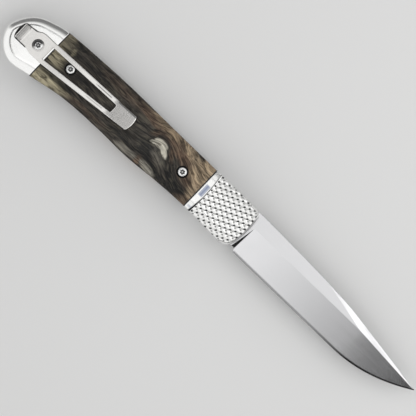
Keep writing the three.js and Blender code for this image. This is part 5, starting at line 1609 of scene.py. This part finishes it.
    def blade(self, name, bevel, half):
        """Sections across the blade, each a closed ring down one face and up the other. Their points lie on
        the blade's lines and at even steps between them; near the plunge the sections lean with it."""
        stations = self.stations()
        shares = [gap + i / count for gap, count in enumerate((3, 8, 22, 4)) for i in range(count)]
        shares = np.array(shares + [4.0])
        x = np.repeat(stations[None], len(shares), 0)
        for _ in range(12):
            y = self.rows_at(x, shares, bevel, half)
            x = self.leaning(stations, y, bevel, half)
        z = self.half_at(x, y, bevel, half)
        chamfer = np.minimum(SPINE_CHAMFER, z[0] * 0.4)
        first = np.stack([x[0], y[0], z[0] - chamfer], -1)[None]
        body = np.stack([x, y, z], -1)
        body[0, :, 1] -= np.minimum(chamfer, (y[0] - y[1]) * 0.4)
        face = np.concatenate([first, body])
        ring = np.concatenate([face, other_side(face)[::-1]])
        rows, count = ring.shape[:2]
        heads = np.arange(rows) * count
        return new_piece(name, ring, [grid_quads(rows, count, wrap=True), heads, heads[::-1] + count - 1],
                         BLADE_SHARP)

    def leaning(self, stations, y, bevel, half):
        """Places of the sections at a height. They lean so that one follows the line where the plunge begins
        and one the line where it meets the bevel, which is found by halving; the rest are spread evenly."""
        fall = GRIND_HEIGHT + RICASSO_DROP
        begin = PLUNGE_BOTTOM + (y + RICASSO_DROP) * (PLUNGE_TOP - PLUNGE_BOTTOM) / fall
        low, high = begin, begin + 1.2 * PLUNGE_RUN
        for _ in range(24):
            middle = (low + high) / 2
            tang = half * (1 - np.maximum(self.past_plunge(middle, y), 0) / PLUNGE_RUN)
            under = self.section_at(middle, y, bevel, half) < tang
            low, high = np.where(under, middle, low), np.where(under, high, middle)
        end = np.where(y < GRIND_HEIGHT, high, begin)
        behind = stations + ease(2.0, 8.6, stations) * (begin - PLUNGE_TOP)
        ahead = stations - 1 + (1 - ease(15.0, 25.0, stations)) * (end - PLUNGE_TOP)
        within = mix(begin, end, stations - PLUNGE_TOP)
        return np.where(stations < PLUNGE_TOP, behind, np.where(stations > PLUNGE_TOP + 1, ahead, within))

    def rows_at(self, x, shares, bevel, half):
        """Heights of the section's points: on the lines, or spread between the tang's top and foot."""
        heights = self.lines_at(np.maximum(x, TANG_FRONT), bevel, half)[0]
        index = np.minimum(shares.astype(int), 3)[:, None]
        rows, columns = np.ogrid[:x.shape[0], :x.shape[1]]
        picked = mix(heights[index, rows, columns], heights[index + 1, rows, columns], shares[:, None] - index)
        share = (picked - heights[4]) / (heights[0] - heights[4])
        behind = mix(self.foot_at(x), self.top_at(x), share)
        return np.where(x < HEEL + 0.45, np.where(x < TANG_FRONT, behind, np.maximum(picked, behind)), picked)

    def past_plunge(self, x, y):
        """Distance of a point past the line where the plunge begins."""
        turn = math.atan2(PLUNGE_TOP - PLUNGE_BOTTOM, GRIND_HEIGHT + RICASSO_DROP)
        return (x - PLUNGE_BOTTOM) * math.cos(turn) - (y + RICASSO_DROP) * math.sin(turn)

    def section_at(self, x, y, bevel, half):
        """Half thickness of the bevelled blade alone, straight between its lines."""
        heights, thick = self.lines_at(np.maximum(x, TANG_FRONT), bevel, half)
        section = thick[4]
        for k in (3, 2, 1, 0):
            share = np.clip((y - heights[k + 1]) / np.maximum(heights[k] - heights[k + 1], 1e-6), 0, 1)
            section = np.where(y >= heights[k + 1], mix(thick[k + 1], thick[k], share), section)
        return section

    def half_at(self, x, y, bevel, half):
        """Half thickness: the larger of the bevelled section and the tang, which slopes down past the
        plunge."""
        tang = half - np.maximum(self.past_plunge(x, y), 0) * half / PLUNGE_RUN
        return np.maximum(self.section_at(x, y, bevel, half), np.where(y > GRIND_HEIGHT, -1.0, tang))


# Finishes of the pieces inside, which keep the shapes of their solids
INNER_FINISHES = {
    "fitting": (
        "frame_pin_front", "frame_pin_middle", "frame_pin_butt", "pivot_barrel", "pivot_screw",
        "bolster_screw_front_clip_side", "bolster_screw_lower_clip_side",
        "bolster_screw_front_show_side", "bolster_screw_lower_show_side",
    ),
    "bronze": ("washer_clip_side", "washer_show_side"),
    "spring": ("opening_spring", "lock_plunger"),
}


class KNIFE_OT_inner_works(bpy.types.Operator):
    """Liners and back spacer with smooth outlines, and finishes for the pieces inside"""

    bl_idname = "knife.inner_works"
    bl_label = "Liners, spacer and inner pieces"

    def execute(self, context):
        sizes, colours = context.scene.knife_sizes, context.scene.knife_colours
        inner, outer = levels(sizes)[1:3]
        steel = material_for("liner", colours)
        outline = np.vstack([SIDE[::4], FRONT_END[::4][1:-1]])
        for low, high, label in ((inner, outer, "clip_side"), (-outer, -inner, "show_side")):
            piece = plate(f"liner_piece_{label}", outline, low, high, 0.06)
            dress(piece, "handle", [f"liner_{label}"], steel)
        spacer = plate("spacer_piece", self.spacer_outline(), -inner, inner, 0.06)
        dress(spacer, "handle", ["back_spacer"], steel)
        spring = self.plunger_spring("plunger_spring_piece")
        dress(spring, None, ["plunger_spring"], material_for("spring", colours))
        for finish, nodes in INNER_FINISHES.items():
            for node in nodes:
                data = frame["nodes"][node].data
                data.materials.clear()
                data.materials.append(material_for(finish, colours))
        return {"FINISHED"}

    def plunger_spring(self, name):
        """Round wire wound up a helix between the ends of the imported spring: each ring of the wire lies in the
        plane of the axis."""
        low, high = (1000 * np.array(corner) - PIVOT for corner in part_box("plunger_spring"))
        middle = (low + high) / 2
        coil = (high[0] - low[0]) / 2 - SPRING_WIRE
        along = np.linspace(0, 1, 24 * SPRING_TURNS + 1)
        turn = 2 * np.pi * SPRING_TURNS * along
        round_wire = np.linspace(0, 2 * np.pi, 10, endpoint=False)[:, None]
        radius = coil + SPRING_WIRE * np.cos(round_wire)
        level = mix(low[2] + SPRING_WIRE, high[2] - SPRING_WIRE, along) + SPRING_WIRE * np.sin(round_wire)
        points = np.stack([middle[0] + radius * np.cos(turn), middle[1] + radius * np.sin(turn), level], -1)
        last = np.arange(10) * len(along)
        faces = [grid_quads(10, len(along), wrap=True), last[::-1], last + len(along) - 1]
        piece = new_piece(name, points, faces, 50.0)
        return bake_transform(piece)

    def spacer_outline(self):
        """Outer line along the back and round the butt, and inner line round the closed blade's room, whose
        bends are curves with one control point each."""
        edge = EDGE_DROP + EDGE_CLEARANCE
        inner_butt = BUTT + BUTT_WALL
        outer = SIDE[SIDE[:, 0] < SPACER_FRONT]
        stop = np.argmax((outer[:, 1] < -5) & (outer[:, 0] > inner_butt))
        t = np.linspace(0, 1, 24)[:, None]

        def bend(a, b, c):
            a, b, c = np.array(a), np.array(b), np.array(c)
            return a * (1 - t) ** 2 + 2 * b * t * (1 - t) + c * t**2

        corner = (inner_butt + 1.6, 2.2)
        first = bend((-BELLY_START - 8, edge), (-TIP + 8, edge - 1.2), corner)
        second = bend(corner, (inner_butt, 0), (inner_butt, -4.6))
        low_end = (inner_butt, belly_at(inner_butt) + 0.01)
        room = np.vstack([[(SPACER_FRONT, edge)], first, second[1:], [low_end]])
        return np.vstack([[(SPACER_FRONT, back_at(SPACER_FRONT))], outer[:stop:3], room[::-1]])


class KNIFE_OT_stage(bpy.types.Operator):
    """Floor, camera, soft lamps and world"""

    bl_idname = "knife.stage"
    bl_label = "Stage"

    def execute(self, context):
        self.floor(context)
        self.camera(context)
        for middle, length, brightness in FACE_LAMPS:
            place = (middle, FACE_LAMP_PLACE, LAMP_HEIGHT)
            self.soft_box(context, place, (length, FACE_LAMP_WIDTH), brightness)
        for left, right, brightness in zip(BEVEL_LAMP_EDGES, BEVEL_LAMP_EDGES[1:], BEVEL_LAMPS):
            place = ((left + right) / 2, BEVEL_LAMP_PLACE, LAMP_HEIGHT)
            self.soft_box(context, place, (right - left, BEVEL_LAMP_WIDTH), brightness)
        x, y, z = SWEDGE_LAMP_PLACE
        for up, brightness in SWEDGE_LAMPS:
            aim = (SWEDGE_LAMP_AIM, -up / 2, up)
            self.soft_box(context, (x, y - up / 2, z + up), SWEDGE_LAMP_SIZE, brightness, aim)
        self.world(context)
        context.scene.view_settings.view_transform = "Standard"
        return {"FINISHED"}

    def floor(self, context):
        """Wide flat floor under the knife."""
        mesh = bpy.data.meshes.new("floor")
        corners = [(x * FLOOR_REACH, y * FLOOR_REACH, 0) for x, y in ((-1, -1), (1, -1), (1, 1), (-1, 1))]
        mesh.from_pydata(corners, [], [(0, 1, 2, 3)])
        mesh.materials.append(material_for("floor", context.scene.knife_colours))
        floor = bpy.data.objects.new("floor", mesh)
        context.scene.collection.objects.link(floor)

    def camera(self, context):
        """Camera straight overhead, so far off that the view is nearly parallel."""
        data = bpy.data.cameras.new("camera")
        data.lens = LENS
        data.sensor_width = SENSOR
        data.clip_start = 0.01
        data.clip_end = 50.0
        camera = bpy.data.objects.new("camera", data)
        distance = VIEW_SIDE / 2 / (SENSOR / 2 / LENS)
        camera.location = (*VIEW_MIDDLE, distance + VIEW_LEVEL)
        camera.rotation_euler = (0, 0, VIEW_TURN)
        context.scene.collection.objects.link(camera)
        context.scene.camera = camera

    def soft_box(self, context, place, size, brightness, aim=None):
        """Lamp whose face has the given brightness. It hangs level unless it has an aim."""
        data = bpy.data.lights.new("soft_box", "AREA")
        data.shape = "RECTANGLE"
        data.size, data.size_y = size
        data.energy = brightness * math.pi * size[0] * size[1]
        lamp = bpy.data.objects.new("soft_box", data)
        lamp.location = place
        if aim:
            lamp.rotation_euler = Vector(np.subtract(aim, place)).to_track_quat("-Z", "Y").to_euler()
        lamp.visible_camera = False
        context.scene.collection.objects.link(lamp)

    def world(self, context):
        """Soft surroundings: bright at the sides, dim overhead where the lamps hang, and dim low down beyond
        the tip and beyond the spine's rear."""
        world = bpy.data.worlds.new("world")
        world.use_nodes = True
        tree = world.node_tree
        tree.nodes.clear()
        split = parts_of(tree, tree.nodes.new("ShaderNodeTexCoord").outputs["Generated"])
        overhead = spread(tree, split["X"], -0.26, -0.12, 0.15, 0.03, smooth=True)
        strength = spread(tree, split["Z"], 0.85, 0.92, 0.95, overhead, smooth=True)
        beyond_tip = spread(tree, split["X"], 0.7, 0.95, 1.0, 0.12, smooth=True)
        rearward = calc(tree, "MULTIPLY", split["X"], 0.55)
        behind = calc(tree, "SUBTRACT", calc(tree, "MULTIPLY", split["Y"], 0.83), rearward)
        low_down = spread(tree, split["Z"], 0.8, 0.45, smooth=True)
        behind = calc(tree, "MULTIPLY", spread(tree, behind, 0.3, 0.7, smooth=True), low_down)
        strength = calc(tree, "MULTIPLY", strength, beyond_tip)
        strength = calc(tree, "MULTIPLY", strength, spread(tree, behind, 0, 1, 1.0, 0.2))
        white = (1.0, 1.0, 1.0, 1.0)
        background = add_node(tree, "ShaderNodeBackground", {"Color": white, "Strength": strength})
        add_node(tree, "ShaderNodeOutputWorld", {"Surface": background.outputs[0]})
        context.scene.world = world


OPERATORS = (
    KNIFE_OT_blade, KNIFE_OT_knurled_bolsters, KNIFE_OT_scales, KNIFE_OT_rear_bolsters, KNIFE_OT_pocket_clip,
    KNIFE_OT_screws, KNIFE_OT_inner_works, KNIFE_OT_stage,
)


class KNIFE_PT_panel(bpy.types.Panel):
    """Lists the knife's operators, sizes and colours"""

    bl_idname = "KNIFE_PT_panel"
    bl_label = "Folding pocket knife"
    bl_space_type = "VIEW_3D"
    bl_region_type = "UI"
    bl_category = "Knife"

    def draw(self, context):
        for operator in OPERATORS:
            self.layout.operator(operator.bl_idname)
        for settings in (context.scene.knife_sizes, context.scene.knife_colours):
            box = self.layout.box()
            for name in settings.__annotations__:
                box.prop(settings, name)


CLASSES = (KnifeSizes, KnifeColours, *OPERATORS, KNIFE_PT_panel)


def register():
    for made in CLASSES:
        bpy.utils.register_class(made)
    bpy.types.Scene.knife_sizes = PointerProperty(type=KnifeSizes)
    bpy.types.Scene.knife_colours = PointerProperty(type=KnifeColours)


def unregister():
    del bpy.types.Scene.knife_colours
    del bpy.types.Scene.knife_sizes
    for made in reversed(CLASSES):
        bpy.utils.unregister_class(made)


def main():
    """Builds the knife and its stage with the add-on's operators."""
    register()
    bpy.ops.knife.blade()
    bpy.ops.knife.knurled_bolsters()
    bpy.ops.knife.scales()
    bpy.ops.knife.rear_bolsters()
    bpy.ops.knife.pocket_clip()
    bpy.ops.knife.screws()
    bpy.ops.knife.inner_works()
    bpy.ops.knife.stage()


if __name__ == "__main__":
    main()
